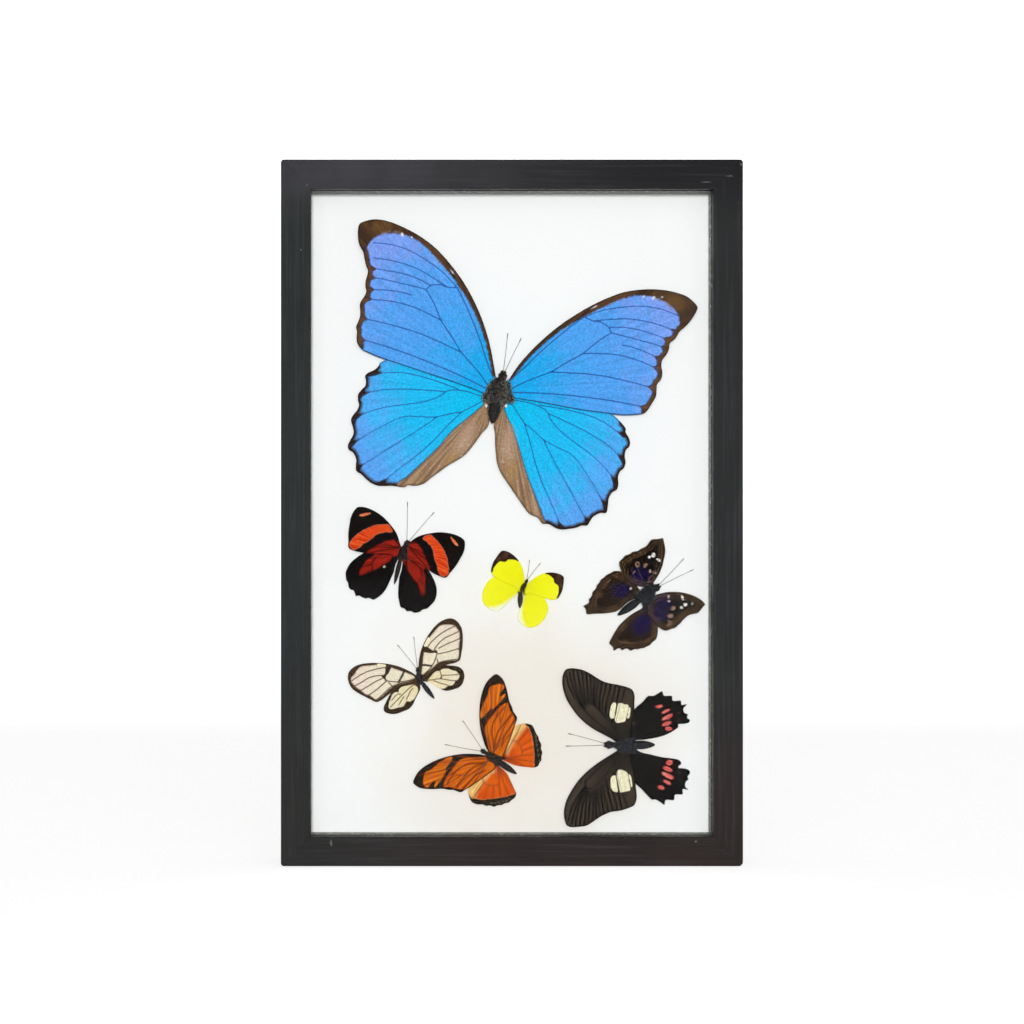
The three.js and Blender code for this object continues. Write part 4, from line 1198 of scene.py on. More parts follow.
class Wing:
    """One wing: a thin wavy shell with raised veins and stored distances for its marks."""

    middle_height = 130.0

    def __init__(self, species: str, pair: str, side: Side, place: WingPlace, marks: Marks,
                 style: WingStyle) -> None:
        """Take what the wing is made from.

        Args:
            species: The butterfly's name.
            pair: Either forewing or hindwing.
            side: Its side.
            place: Where it lies.
            marks: What is drawn on it.
            style: How fine it is.
        """
        self.species, self.pair, self.side = species, pair, side
        self.place, self.marks, self.style = place, marks, style
        self.node = f"{species}_{pair}_{side.name.lower()}"
        low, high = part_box(self.node)
        self.depth = (low.y + high.y) / 2 / MM
        self.loop = self.read_outline()

    def to_wing(self, board: np.ndarray) -> np.ndarray:
        """Turn places on the board into places along and across the wing."""
        angle = math.radians(self.place.angle)
        dx, dz = board[:, 0] - self.place.x, board[:, 1] - self.middle_height - self.place.z
        along = dx * math.cos(angle) + dz * math.sin(angle)
        across = self.side.value * (-dx * math.sin(angle) + dz * math.cos(angle))
        return np.column_stack([along, across]) / self.place.scale

    def to_board(self, wing: np.ndarray) -> np.ndarray:
        """Turn places along and across the wing into places on the board."""
        angle = math.radians(self.place.angle)
        u, v = wing[:, 0] * self.place.scale, wing[:, 1] * self.place.scale * self.side.value
        x = self.place.x + u * math.cos(angle) - v * math.sin(angle)
        z = self.middle_height + self.place.z + u * math.sin(angle) + v * math.cos(angle)
        return np.column_stack([x, z])

    def read_outline(self) -> np.ndarray:
        """Follow the edge of the wing's solid round its front face."""
        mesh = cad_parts[self.node].data
        flat = np.empty(len(mesh.vertices) * 3)
        mesh.vertices.foreach_get("co", flat)
        points = flat.reshape(-1, 3) / MM
        front = points[:, 1].min()
        keys = [(round(x, 3), round(z, 3)) for x, _, z in points]
        edges = set()
        for face in mesh.polygons:
            if all(points[v, 1] - front < 1e-3 for v in face.vertices):
                ids = [keys[v] for v in face.vertices]
                edges |= set(zip(ids, ids[1:] + ids[:1]))
        following = {a: b for a, b in edges if (b, a) not in edges}
        loops = []
        while following:
            here, _ = next(iter(following.items()))
            loop = []
            while here in following:
                loop.append(here)
                here = following.pop(here)
            loops.append(loop)
        loop = self.to_wing(np.array(max(loops, key=len)))
        return resample(loop, self.style.spacing, True)

    def fan_veins(self) -> list[np.ndarray]:
        """Lay veins from the root to the outer edge where none are given."""
        angle = np.arctan2(self.loop[:, 1], self.loop[:, 0] + 0.5)
        reach = np.hypot(self.loop[:, 0], self.loop[:, 1])
        far = reach > 0.3 * reach.max()
        low, high = angle[far].min(), angle[far].max()
        veins, starts = [], []
        for share in np.linspace(0.06, 0.94, self.style.vein_count):
            aim = low + share * (high - low)
            near = np.abs(angle - aim) < 0.06
            end = reach[near].max() if near.any() else reach.max() * 0.8
            inner = 0.5 if 0.2 < share < 0.85 else 0.06
            runs = np.linspace(inner, 0.985, 12)
            bent = aim + 0.16 * (0.5 - share) * (1 - runs)
            line = np.column_stack([runs * end * np.cos(bent), runs * end * np.sin(bent)])
            veins.append(line)
            if inner > 0.3:
                starts.append(line[0])
        if len(starts) > 1:
            root = np.array([0.3, 0.0])
            veins.append(resample(np.array([root, starts[0] * 0.5 + [0, -0.15], starts[0]]), 0.6, False))
            veins.append(resample(np.array([root, starts[-1] * 0.5 + [0, 0.15], starts[-1]]), 0.6, False))
            veins.append(resample(np.array(starts), 0.5, False))
        return veins

    def veins(self) -> list[np.ndarray]:
        """Give the wing's veins, each an array of points inside its edge."""
        if not self.marks.veins:
            lines = self.fan_veins()
        else:
            lines = [resample(np.array(line), 0.8, False) for line in self.marks.veins]
        kept = []
        for line in lines:
            within = inside(line, self.loop)
            gap = distance_to_lines(line, [closed_loop(self.loop)])
            line = line[within & (gap > 0.12)]
            if len(line) > 2:
                kept.append(line)
        return kept

    def fill(self) -> tuple[np.ndarray, np.ndarray]:
        """Fill the outline with small triangles that face the front."""
        step = self.style.spacing
        low, high = self.loop.min(0), self.loop.max(0)
        rows = np.arange(low[1], high[1], step * math.sqrt(3) / 2)
        points = []
        for number, row in enumerate(rows):
            start = low[0] + (number % 2) * step / 2
            line = np.arange(start, high[0], step)
            points.append(np.column_stack([line, np.full(len(line), row)]))
        points = np.vstack(points)
        points = points[inside(points, self.loop)]
        gap = distance_to_lines(points, [closed_loop(self.loop)])
        points = points[gap > 0.55 * step]
        every = [Vector(p) for p in np.vstack([self.loop, points])]
        rim = list(range(len(self.loop)))
        found, _, faces, *_ = delaunay_2d_cdt(every, [], [rim], 1, 1e-5, False)
        places = np.array([(p.x, p.y) for p in found])
        corners = np.array(faces)
        corners = corners[inside(places[corners].mean(axis=1), self.loop)]
        board = self.to_board(places)
        a, b, c = board[corners[:, 0]], board[corners[:, 1]], board[corners[:, 2]]
        area = (b[:, 0] - a[:, 0]) * (c[:, 1] - a[:, 1]) - (b[:, 1] - a[:, 1]) * (c[:, 0] - a[:, 0])
        corners[area < 0] = corners[area < 0][:, ::-1]
        return places, corners[np.abs(area) > 1e-9]

    def wave(self, places: np.ndarray, vein: np.ndarray) -> np.ndarray:
        """Give how far the wing's middle lies behind its flat place; veins stand forward."""
        u, v = places.T
        size = self.style.wave
        phase = self.place.angle / 40
        slow = np.sin(u * 0.19 + phase) * np.cos(v * 0.23 + phase) + 0.4 * np.sin(u * 0.43 - v * 0.31)
        return size * 0.7 * slow + size * 0.6 * (1 - np.exp(-((vein / 1.4) ** 2)))

    def rim_line(self) -> np.ndarray:
        """Give the part of the outline that is the wing's outer edge."""
        if self.marks.rim is None:
            return closed_loop(self.loop)
        first, last = [int(np.argmin(np.linalg.norm(self.loop - np.array(p), axis=1)))
                       for p in self.marks.rim]
        count = len(self.loop)
        way = [k % count for k in range(first, first + (last - first) % count + 1)]
        back = [k % count for k in range(last, last + (first - last) % count + 1)]
        size = [np.hypot(*self.loop[ids].T).mean() for ids in (way, back)]
        return self.loop[way if size[0] > size[1] else back]

    def distances(self, places: np.ndarray, veins: list[np.ndarray]) -> dict[str, np.ndarray]:
        """Give the numbers that the wing's material reads.

        Args:
            places: Points along and across the wing.
            veins: The wing's veins.

        Returns:
            An array for each name.
        """
        u, v = places.T
        found = {
            "root": np.hypot(u, v),
            "ray": np.arctan2(v, u + 2.0),
            "vein": distance_to_lines(places, veins),
            "border": distance_to_lines(places, [closed_loop(self.loop)]),
        }
        teeth = self.marks.tooth * np.exp(-((found["vein"] / 0.75) ** 2))
        found["rim"] = self.marks.rim_width + teeth - distance_to_lines(places, [self.rim_line()])
        found["waves"] = found["border"] + 0.45 * np.exp(-((found["vein"] / 0.7) ** 2))
        for name, loops in self.marks.loops.items():
            found[name] = np.max([depth_inside(places, loop) for loop in loops], axis=0)
        for name, spots in self.marks.spots.items():
            depths = []
            for x, y, length, width, tilt in spots:
                turn = math.radians(tilt)
                du, dv = u - x, v - y
                a = (du * math.cos(turn) + dv * math.sin(turn)) / (length / 2)
                b = (-du * math.sin(turn) + dv * math.cos(turn)) / (width / 2)
                depths.append((1 - np.hypot(a, b)) * width / 2)
            found[name] = np.max(depths, axis=0)
        for name, lines in self.marks.lines.items():
            smooth = [resample(np.array(line), 0.6, False) for line in lines]
            found[name] = -distance_to_lines(places, smooth)
        return found

    def shape(self, veins: list[np.ndarray]) -> bpy.types.Mesh:
        """Make the wing's mesh: front, back and edge, with its veins as loose lines."""
        places, corners = self.fill()
        numbers = self.distances(places, veins)
        half = self.style.shell / 2
        middle = self.depth + self.wave(places, numbers["vein"])
        thin = half * np.clip(0.35 + numbers["border"] / 0.8, 0.35, 1)
        board = self.to_board(places)
        count = len(places)
        front = np.column_stack([board[:, 0], middle - thin, board[:, 1]])
        back = np.column_stack([board[:, 0], middle + thin, board[:, 1]])
        edges = set()
        for a, b, c in corners.tolist():
            edges |= {(a, b), (b, c), (c, a)}
        sides = [(b, a, a + count, b + count) for a, b in edges if (b, a) not in edges]
        faces = corners.tolist() + (corners[:, ::-1] + count).tolist() + [list(s) for s in sides]
        lines, wires, tube = [], [], []
        start = 2 * count
        for vein in veins:
            laid = self.to_board(vein)
            depth = self.depth + self.wave(vein, np.zeros(len(vein)))
            lines.append(np.column_stack([laid[:, 0], depth, laid[:, 1]]))
            wires += [(start + k, start + k + 1) for k in range(len(vein) - 1)]
            start += len(vein)
            far = np.hypot(vein[:, 0], vein[:, 1]) / max(1.0, np.hypot(*self.loop.T).max())
            tube.append(self.style.vein * (1.15 - 0.65 * far) * MM)
        points = np.vstack([front, back] + lines)
        mesh = bpy.data.meshes.new(f"wing_{self.species}_{self.pair[:4]}_{self.side.name.lower()}")
        mesh.from_pydata((points * MM).tolist(), wires, faces)
        extra = len(points) - 2 * count
        for name, values in numbers.items():
            set_attribute(mesh, name, np.concatenate([values, values, np.zeros(extra)]))
        set_attribute(mesh, "tube", np.concatenate([np.zeros(2 * count)] + tube))
        return mesh

    def build(self, membrane: bpy.types.Material, vein_finish: bpy.types.Material,
              tubes: bpy.types.NodeTree) -> bpy.types.Object:
        """Make the wing.

        Args:
            membrane: The wing's own material.
            vein_finish: The material of its veins.
            tubes: The node tree that rounds the veins.

        Returns:
            The piece.
        """
        mesh = self.shape(self.veins())
        mesh.materials.append(membrane)
        made = new_object(mesh.name, mesh)
        apply_tree(made, tubes, {"Tube finish": vein_finish, "Sides": 6})
        shade_smooth(made.data)
        return hand_over(made, [self.node])


@dataclass(frozen=True)
class BodyShape:
    """Sizes and places of a butterfly's head, thorax and abdomen on the board, in mm."""

    head: tuple[float, float, float]
    thorax: tuple[float, float, float, float, float]
    abdomen: tuple[float, float, float, float, float]
    antennae: tuple[Point, ...]
    voxel: float = 0.14
    hair: float = 0.9
    density: float = 34.0
    thickness: float = 0.035


@dataclass(frozen=True)
class BodyColours:
    """Hex colours of a butterfly's body."""

    dark: str
    light: str
    band: str
    hair_dark: str
    hair_light: str
    antenna: str = "6A625A"


class Body:
    """A butterfly's trunk with its fur, eyes and antennae."""

    middle_height = 130.0
    board_front = -0.5
    flatness = 0.8
    gap = 0.3
    abdomen_rings = 8

    def __init__(self, species: str, shape: BodyShape, colours: BodyColours, roots: list[Point]) -> None:
        """Take the body's name, sizes, colours and the places of the wings' roots."""
        self.species, self.shape, self.colours, self.roots = species, shape, colours, roots
        self.depth = self.board_front - self.gap - shape.thorax[3] * self.flatness / 2
        angle = math.radians(shape.thorax[4])
        self.forward = np.array([math.cos(angle), 0.0, math.sin(angle)])
        self.sideways = np.array([-math.sin(angle), 0.0, math.cos(angle)])

    def at(self, x: float, z: float) -> np.ndarray:
        """Give a point on the body's middle line, in mm."""
        return np.array([x, self.depth, self.middle_height + z])

    def spindle(self, shape: bmesh.types.BMesh, start: np.ndarray, end: np.ndarray, width: float,
                skew: float = 1.0, grooves: int = 0) -> None:
        """Add a closed spindle between two points.

        Args:
            shape: The mesh being made.
            start: Its first pole.
            end: Its last pole.
            width: Its greatest width.
            skew: Less than 1 thins the far end.
            grooves: How many rings are cut into it.
        """
        axis = end - start
        length = np.linalg.norm(axis)
        axis = axis / length
        side = np.cross(axis, [0.0, 1.0, 0.0])
        rings, sides = 44, 24
        rows = []
        for ring in range(1, rings):
            share = ring / rings
            radius = width / 2 * math.sin(math.pi * share**skew) ** 0.6
            if grooves:
                radius *= 1 - 0.09 * (0.5 + 0.5 * math.cos(2 * math.pi * grooves * share)) ** 6
            centre = start + axis * length * share
            rows.append([shape.verts.new(Vector((
                centre + side * radius * math.cos(t)
                + np.array([0, 1, 0]) * radius * self.flatness * math.sin(t)) * MM))
                for t in np.linspace(0, 2 * math.pi, sides, endpoint=False)])
        poles = [shape.verts.new(Vector(p * MM)) for p in (start, end)]
        for above, below in zip(rows, rows[1:]):
            for k in range(sides):
                shape.faces.new([above[k], above[(k + 1) % sides], below[(k + 1) % sides], below[k]])
        for k in range(sides):
            shape.faces.new([rows[0][(k + 1) % sides], rows[0][k], poles[0]])
            shape.faces.new([rows[-1][k], rows[-1][(k + 1) % sides], poles[1]])

    def trunk(self) -> bpy.types.Mesh:
        """Make head, feelers, thorax and abdomen as overlapping spindles."""
        s = self.shape
        shape = bmesh.new()
        head = self.at(*s.head[:2])
        width = s.head[2]
        self.spindle(shape, head - self.forward * width / 2, head + self.forward * width / 2, width * 0.86)
        for side in (-1, 1):
            tip = head + self.forward * width * 0.72 + self.sideways * side * width * 0.16
            base = head + self.sideways * side * width * 0.2
            self.spindle(shape, base, tip, width * 0.3)
        thorax, half = self.at(*s.thorax[:2]), s.thorax[2] / 2
        self.spindle(shape, thorax + self.forward * half, thorax - self.forward * half, s.thorax[3])
        neck = (head + thorax + self.forward * half) / 2
        reach = np.linalg.norm(head - thorax) * 0.45
        self.spindle(shape, neck + self.forward * reach, neck - self.forward * reach, width * 0.62)
        for x, z in self.roots:
            root = self.at(x, z)
            away = root - thorax
            away[1] += 0.12 * s.thorax[3]
            self.spindle(shape, thorax + away * 0.1, thorax + away * 1.35, s.thorax[3] * 0.5)
        for fore, hind in (self.roots[0::2], self.roots[1::2]):
            first, last = self.at(*fore), self.at(*hind)
            reach = (last - first) * 0.15
            self.spindle(shape, first - reach, last + reach, np.linalg.norm(last - first) * 0.28)
        x0, z0, x1, z1, wide = s.abdomen
        self.spindle(shape, self.at(x0, z0), self.at(x1, z1), wide, 0.8, self.abdomen_rings)
        bmesh.ops.recalc_face_normals(shape, faces=shape.faces)
        mesh = bpy.data.meshes.new(f"butterfly_{self.species}_body")
        shape.to_mesh(mesh)
        shape.free()
        return mesh

    def numbers(self, mesh: bpy.types.Mesh) -> None:
        """Store how furry and how banded each point of the trunk is."""
        s = self.shape
        flat = np.empty(len(mesh.vertices) * 3)
        mesh.vertices.foreach_get("co", flat)
        points = flat.reshape(-1, 3) / MM
        thorax = self.at(*s.thorax[:2])
        along = (points - thorax) @ self.forward / (s.thorax[2] / 2)
        start, end = self.at(*s.abdomen[:2]), self.at(*s.abdomen[2:4])
        axis = end - start
        share = (points - start) @ axis / (axis @ axis)
        fur = np.where(np.abs(along) < 0.95, 1.0, 0.42)
        fur = np.where((share > 0.12) & (along < -0.9), 0.3 - 0.12 * share, fur)
        rings = np.cos(2 * math.pi * self.abdomen_rings * share)
        band = np.where(share > 0.12, (0.5 + 0.5 * rings) ** 4, 0.0)
        set_attribute(mesh, "fur", fur)
        set_attribute(mesh, "band", band)

    def antenna_lines(self) -> list[tuple[np.ndarray, np.ndarray]]:
        """Give the points of each antenna and its thickness at them."""
        lines = []
        head = self.at(*self.shape.head[:2])
        for number, (degrees, length) in enumerate(self.shape.antennae):
            angle = math.radians(degrees)
            axis = np.array([math.cos(angle), 0.0, math.sin(angle)])
            side = np.array([-math.sin(angle), 0.0, math.cos(angle)])
            shares = np.linspace(0.08, 0.995, 26)
            turn = 1 if number % 2 else -1
            bow = 0.1 * np.sin(np.pi * shares)
            points = head + np.outer(shares * length, axis) + np.outer(turn * bow, side)
            points[:, 1] -= 0.12 * np.sin(np.pi * shares * 0.9)
            club = np.clip((shares - 0.86) / 0.1, 0, 1)
            thick = 0.075 + 0.02 * (1 - shares) + 0.11 * club * np.clip((1.01 - shares) / 0.05, 0.25, 1)
            lines.append((points, thick))
        return lines

    def add_antennae(self, mesh: bpy.types.Mesh) -> None:
        """Add the antennae to the trunk as loose lines with a thickness."""
        shape = bmesh.new()
        shape.from_mesh(mesh)
        layer = shape.verts.layers.float.new("tube")
        for points, thick in self.antenna_lines():
            made = []
            for point, radius in zip(points, thick):
                vertex = shape.verts.new(Vector(point * MM))
                vertex[layer] = radius * MM
                made.append(vertex)
            for a, b in zip(made, made[1:]):
                shape.edges.new((a, b))
        shape.to_mesh(mesh)
        shape.free()

    def add_eyes(self, made: bpy.types.Object, finish: bpy.types.Material) -> None:
        """Set a round eye on each side of the head."""
        mesh = made.data
        mesh.materials.append(finish)
        index = len(mesh.materials) - 1
        width = self.shape.head[2]
        head = self.at(*self.shape.head[:2])
        shape = bmesh.new()
        shape.from_mesh(mesh)
        for side in (-1, 1):
            centre = head + self.sideways * side * width * 0.3 + self.forward * width * 0.14
            centre = centre + np.array([0, -0.07 * width, 0])
            before = set(shape.faces)
            new = bmesh.ops.create_icosphere(shape, subdivisions=3, radius=width * 0.2 * MM)
            for vertex in new["verts"]:
                vertex.co += Vector(centre * MM)
            for face in set(shape.faces) - before:
                face.material_index = index
                face.smooth = True
        shape.to_mesh(mesh)
        shape.free()

    def build(self, tubes: bpy.types.NodeTree, fur: bpy.types.NodeTree, eye: bpy.types.Material
              ) -> bpy.types.Object:
        """Make the body.

        Args:
            tubes: The node tree that rounds the antennae.
            fur: The node tree that grows the hairs.
            eye: The material of the eyes.

        Returns:
            The piece.
        """
        c, s = self.colours, self.shape
        skin = BodySkin(f"{self.species}_skin", c.dark, c.light, c.band).build()
        hair = Hair(f"{self.species}_hair", c.hair_dark, c.hair_light).build()
        horn = VeinPaint(f"{self.species}_antenna", c.antenna, "8A8278").build()
        made = new_object(f"butterfly_{self.species}_body", self.trunk())
        remesh = made.modifiers.new("skin", "REMESH")
        remesh.mode, remesh.voxel_size, remesh.use_smooth_shade = "VOXEL", s.voxel * MM, True
        bake_modifiers(made)
        made.data.materials.clear()
        made.data.materials.append(skin)
        self.numbers(made.data)
        self.add_antennae(made.data)
        apply_tree(made, tubes, {"Tube finish": horn, "Sides": 7})
        lean = tuple((-self.forward * 0.9 + np.array([0, -0.25, 0])).tolist())
        apply_tree(made, fur, {
            "Hair finish": hair, "Density": s.density * 1e6, "Length": s.hair * MM,
            "Thickness": s.thickness * MM, "Lean": lean, "Seed": len(self.species)})
        shade_smooth(made.data)
        self.add_eyes(made, eye)
        return hand_over(made, [f"{self.species}_body"])


@dataclass(frozen=True)
class Species:
    """Everything one butterfly is made from."""

    name: str
    body: BodyShape
    colours: BodyColours
    style: WingStyle
    veins: tuple[str, str]
    paints: dict[str, WingPaint]
    places: dict[tuple[str, Side], WingPlace]
    marks: dict[tuple[str, Side], Marks]

    def build(self, tubes: bpy.types.NodeTree, fur: bpy.types.NodeTree, eye: bpy.types.Material) -> None:
        """Make the butterfly's four wings and its body.

        Args:
            tubes: The node tree that rounds veins and antennae.
            fur: The node tree that grows hairs.
            eye: The material of the eyes.
        """
        vein = VeinPaint(f"{self.name}_vein", *self.veins).build()
        membranes = {pair: paint.build() for pair, paint in self.paints.items()}
        for (pair, side), place in self.places.items():
            wing = Wing(self.name, pair, side, place, self.marks[(pair, side)], self.style)
            wing.build(membranes[pair], vein, tubes)
        roots = [(place.x, place.z) for place in self.places.values()]
        Body(self.name, self.body, self.colours, roots).build(tubes, fur, eye)


FORE, HIND = "forewing", "hindwing"
LEFT, RIGHT = Side.LEFT, Side.RIGHT


def four(fore_left: Value, fore_right: Value, hind_left: Value, hind_right: Value, kind: Callable
         ) -> dict[tuple[str, Side], Value]:
    """Name four wings' values, each made by a class from a tuple, or kept as it is."""
    made = [kind(*v) if isinstance(v, tuple) else v for v in (fore_left, fore_right, hind_left, hind_right)]
    return dict(zip([(FORE, LEFT), (FORE, RIGHT), (HIND, LEFT), (HIND, RIGHT)], made))


# What each butterfly looks like


def blue_species() -> Species:
    """The large blue butterfly."""
    costa_right = trace("""
        -2 4, 2 1, 5.6 3.1, 12 6.4, 18.8 9.1, 26 11.2, 33 12.3, 40 13.1, 47.5 13.6, 52 13.5, 57 12.8,
        60 11.5, 62.5 10, 64.5 8.2, 66 6.5, 67.5 4.5, 68.3 2.5, 68.7 0.5, 68.4 -1.5, 67.6 -3.6, 66 -6.4,
        64.6 -8, 76 -9, 84 6, 78 15, 66 20, 40 22, 20 18, 6 12""")
    costa_left = trace("""
        -2 5, 2.6 2, 5.4 3.4, 12 7.1, 19.2 10.3, 26.8 12.6, 35.3 14.1, 44 14.7, 52.5 14.6, 58 13.9,
        61.5 12.7, 64.2 11.2, 66.4 9.4, 68 7.6, 69.6 5.6, 70.2 3.6, 70.4 1.6, 70.1 -0.4, 69.3 -2.6,
        68 -5, 66.6 -7, 78 -8, 86 6, 80 17, 68 22, 40 24, 20 20, 6 13""")
    veins = traces("""
        1 -2, 8 -1.5, 16.5 -1.6, 24 -0.6, 30.5 0.2, 37 2.2, 43 3.4;
        43 3.4, 43 5.6, 41 8.5, 38.5 10, 36 12.6;
        36 12.6, 44 12.2, 52 10.2, 58 8, 63 5, 66.5 2, 69 -0.5;
        38.5 10, 45 8, 51 5.8, 56.5 2.6, 61 -0.8, 64.5 -4;
        43 5.6, 48 3.6, 53 0.6, 58 -3.5, 61.5 -6.5;
        43 3.4, 48 -0.2, 53 -4, 57 -7, 59.5 -9.5;
        45 -2.2, 49 -5, 53 -8.8, 56.5 -12.8;
        30.5 0.2, 36 -2, 42 -5, 47 -8.6, 51 -12.2, 54.5 -16;
        16.5 -1.6, 24 -5, 32 -9, 38 -12.8, 44 -17, 50.5 -22;
        1 -3.5, 8 -6.5, 16 -10.3, 24 -14.5, 32 -19, 40 -24, 45 -27.4;
        1 1, 8 3.4, 16 6.6, 24 9.4, 30 11.2, 36 12.6""")
    turned = math.radians(0.8)
    veins_left = [[(0.3 + u * math.cos(turned) - v * math.sin(turned), 0.2 + u * math.sin(turned)
                    + v * math.cos(turned)) for u, v in line] for line in veins]
    hind_veins = traces("""
        2 -0.5, 6 -0.4, 11 -0.2;
        11 -0.2, 15 1.3, 20 2.8, 25 5.6, 30 8.6, 36 9.6, 45 9.8, 54 9.2;
        20 2.6, 28 2, 38 1.5, 48 1, 55 0.6;
        11 -0.2, 18 -2, 25 -4.2, 33 -6, 42 -7.2, 51 -8.6;
        2 1.5, 6 5.8, 10 8.6, 12.5 9.3, 15 8.9, 21 9.9, 28 12.6, 36 15.6, 44 17.2, 49 16.3;
        12.5 9.3, 18 13, 26 18, 34 22, 42 24;
        8 8, 16 17, 24 24, 34 28.8""")
    spots_right = {
        "glint": trace("62.5 9.5 1.6 1.1 20, 41 14.6 2.4 0.5 5, 59.4 11.4 0.9 0.7 0, 65.6 8.6 0.8 0.6 0"),
        "gold": trace("69.5 5 8 5.5 120"),
        "lilac": trace("66.6 5.2 2.6 0.7 110, 64.4 8 2 0.8 130, 47 13.2 3 0.5 0"),
    }
    spots_left = {
        "glint": trace("64.5 10.8 1.6 1.1 20, 42 15.8 2.2 0.5 5, 61.4 12.8 0.9 0.7 0"),
        "gold": trace("71.5 7 8 5.5 120"),
        "lilac": trace("69 6.8 2.6 0.7 110, 66.6 9.8 2 0.8 130, 48 14.4 3 0.5 0"),
    }
    anal_right = trace("""
        1 -2.6, 3 -4, 10 -5, 18 -6.8, 26 -9, 34 -10.6, 40 -11.6, 44 -12.3, 50 -14, 52 -22, 36 -30,
        10 -24, -4 -10""")
    anal_left = trace("""
        1 -1, 3 -2, 10 -3.3, 18 -4.8, 25 -7.4, 33 -9.5, 40 -11.2, 46 -12.6, 52 -22, 36 -30, 10 -24,
        -4 -10""")
    sheen = trace("9 -5.6, 14 -6.8, 19 -9.8, 22 -13, 17 -13, 12 -10")

    def fore(costa: list[Point], spots: dict, lines: list) -> Marks:
        """Marks of a forewing."""
        return Marks({"costa": [costa]}, spots, {}, lines, ((72, 4), (44, -29)), 1.5, 1.3)

    def hind(anal: list[Point]) -> Marks:
        """Marks of a hindwing."""
        return Marks({"anal": [anal], "sheen": [sheen]},
                     {"pale": trace("""
                         19 -14.5 1.2 0.5 20, 15 -12 0.7 0.4 0, 24 -15.6 0.7 0.5 0, 28 -13.6 0.6 0.5 0"""),
                      "gold": trace("24 -14.5 9 4 -35"),
                      "gap": trace("1.9 -2.6 1.3 0.9 -60")},
                     {}, hind_veins, ((30, 29), (46, -12)), 1.1, 1.5)

    fore_layers = (
        Layer("vein", "123A8C", 0.22, 0.16, 0.05, 0.85, "", True),
        Layer("rim", "4A302C", 0.4, 0.35, 0.5, 0.9, "2E2226"),
        Layer("rim", "6E4C30", -0.1, 0.3, 0.5, 1.0, "4E3624"),
        Layer("costa", "3A2A20", 0.1, 0.45, 0.7, 1.0, "5C4028"),
        Layer("gold", "8A6238", 0.0, 1.1, 0.9, 0.7, "4A3420"),
        Layer("lilac", "B4A09C", 0.0, 0.5, 0.5, 0.6, "7A5A44"),
        Layer("glint", "E8E4E8", 0.0, 0.2, 0.15, 0.95),
        Layer("border", "1E1412", 0.32, 0.16, 0.1, 0.75, "", True),
    )
    hind_layers = (
        Layer("vein", "143F98", 0.2, 0.16, 0.05, 0.8, "", True),
        Layer("rim", "5A4030", 0.4, 0.4, 0.5, 0.7, "2E201C"),
        Layer("rim", "1C1412", -0.2, 0.3, 0.4, 1.0, "33231A"),
        Layer("anal", "3A2A28", 0.35, 0.3, 0.3, 0.8),
        Layer("anal", "8E6E52", -0.1, 0.3, 0.4, 1.0, "B49274"),
        Layer("sheen", "D8B8A4", 0.0, 2.4, 1.4, 0.8, "B08C6C"),
        Layer("gold", "C8A268", 0.0, 1.6, 1.6, 0.7, "8A6440"),
        Layer("border", "3A2A20", 0.5, 0.6, 0.4, 0.55, "", True),
        Layer("pale", "D8D0C8", 0.0, 0.25, 0.1, 0.7),
        Layer("gap", "F8F8F8", 0.0, 0.12, 0.08, 1.0),
    )
    return Species(
        "blue",
        BodyShape((-2.9, 50.6, 3.4), (-4.6, 45.2, 10.4, 7.0, 79.0), (-5.2, 43.0, -6.8, 33.2, 4.6),
                  ((83.2, 16.4), (64.1, 16.1)), 0.22, 1.7, 20.0, 0.085),
        BodyColours("0C0A0B", "1E1A1A", "14100F", "0A0807", "A8A296"),
        WingStyle(0.5, 0.12, 0.13, 0.1),
        ("1F3F86", "2E5AA8"),
        {
            FORE: WingPaint("blue_forewing", "1CB0F6", "56A8FA", "86A6FA", fore_layers,
                            76.0, 0.4, 0.4, 0.16, mottle=0.16),
            HIND: WingPaint("blue_hindwing", "0EC8FA", "24C2FC", "60AAFA", hind_layers,
                            56.0, 0.4, 0.4, 0.16, mottle=0.16),
        },
        four((-6.1, 47.6, 130.9), (-1.2, 47.6, 22.0), (-8.5, 43.1, -150.6), (-0.3, 42.8, -58.6), WingPlace),
        four(fore(costa_left, spots_left, veins_left), fore(costa_right, spots_right, veins),
             hind(anal_left), hind(anal_right), Marks),
    )


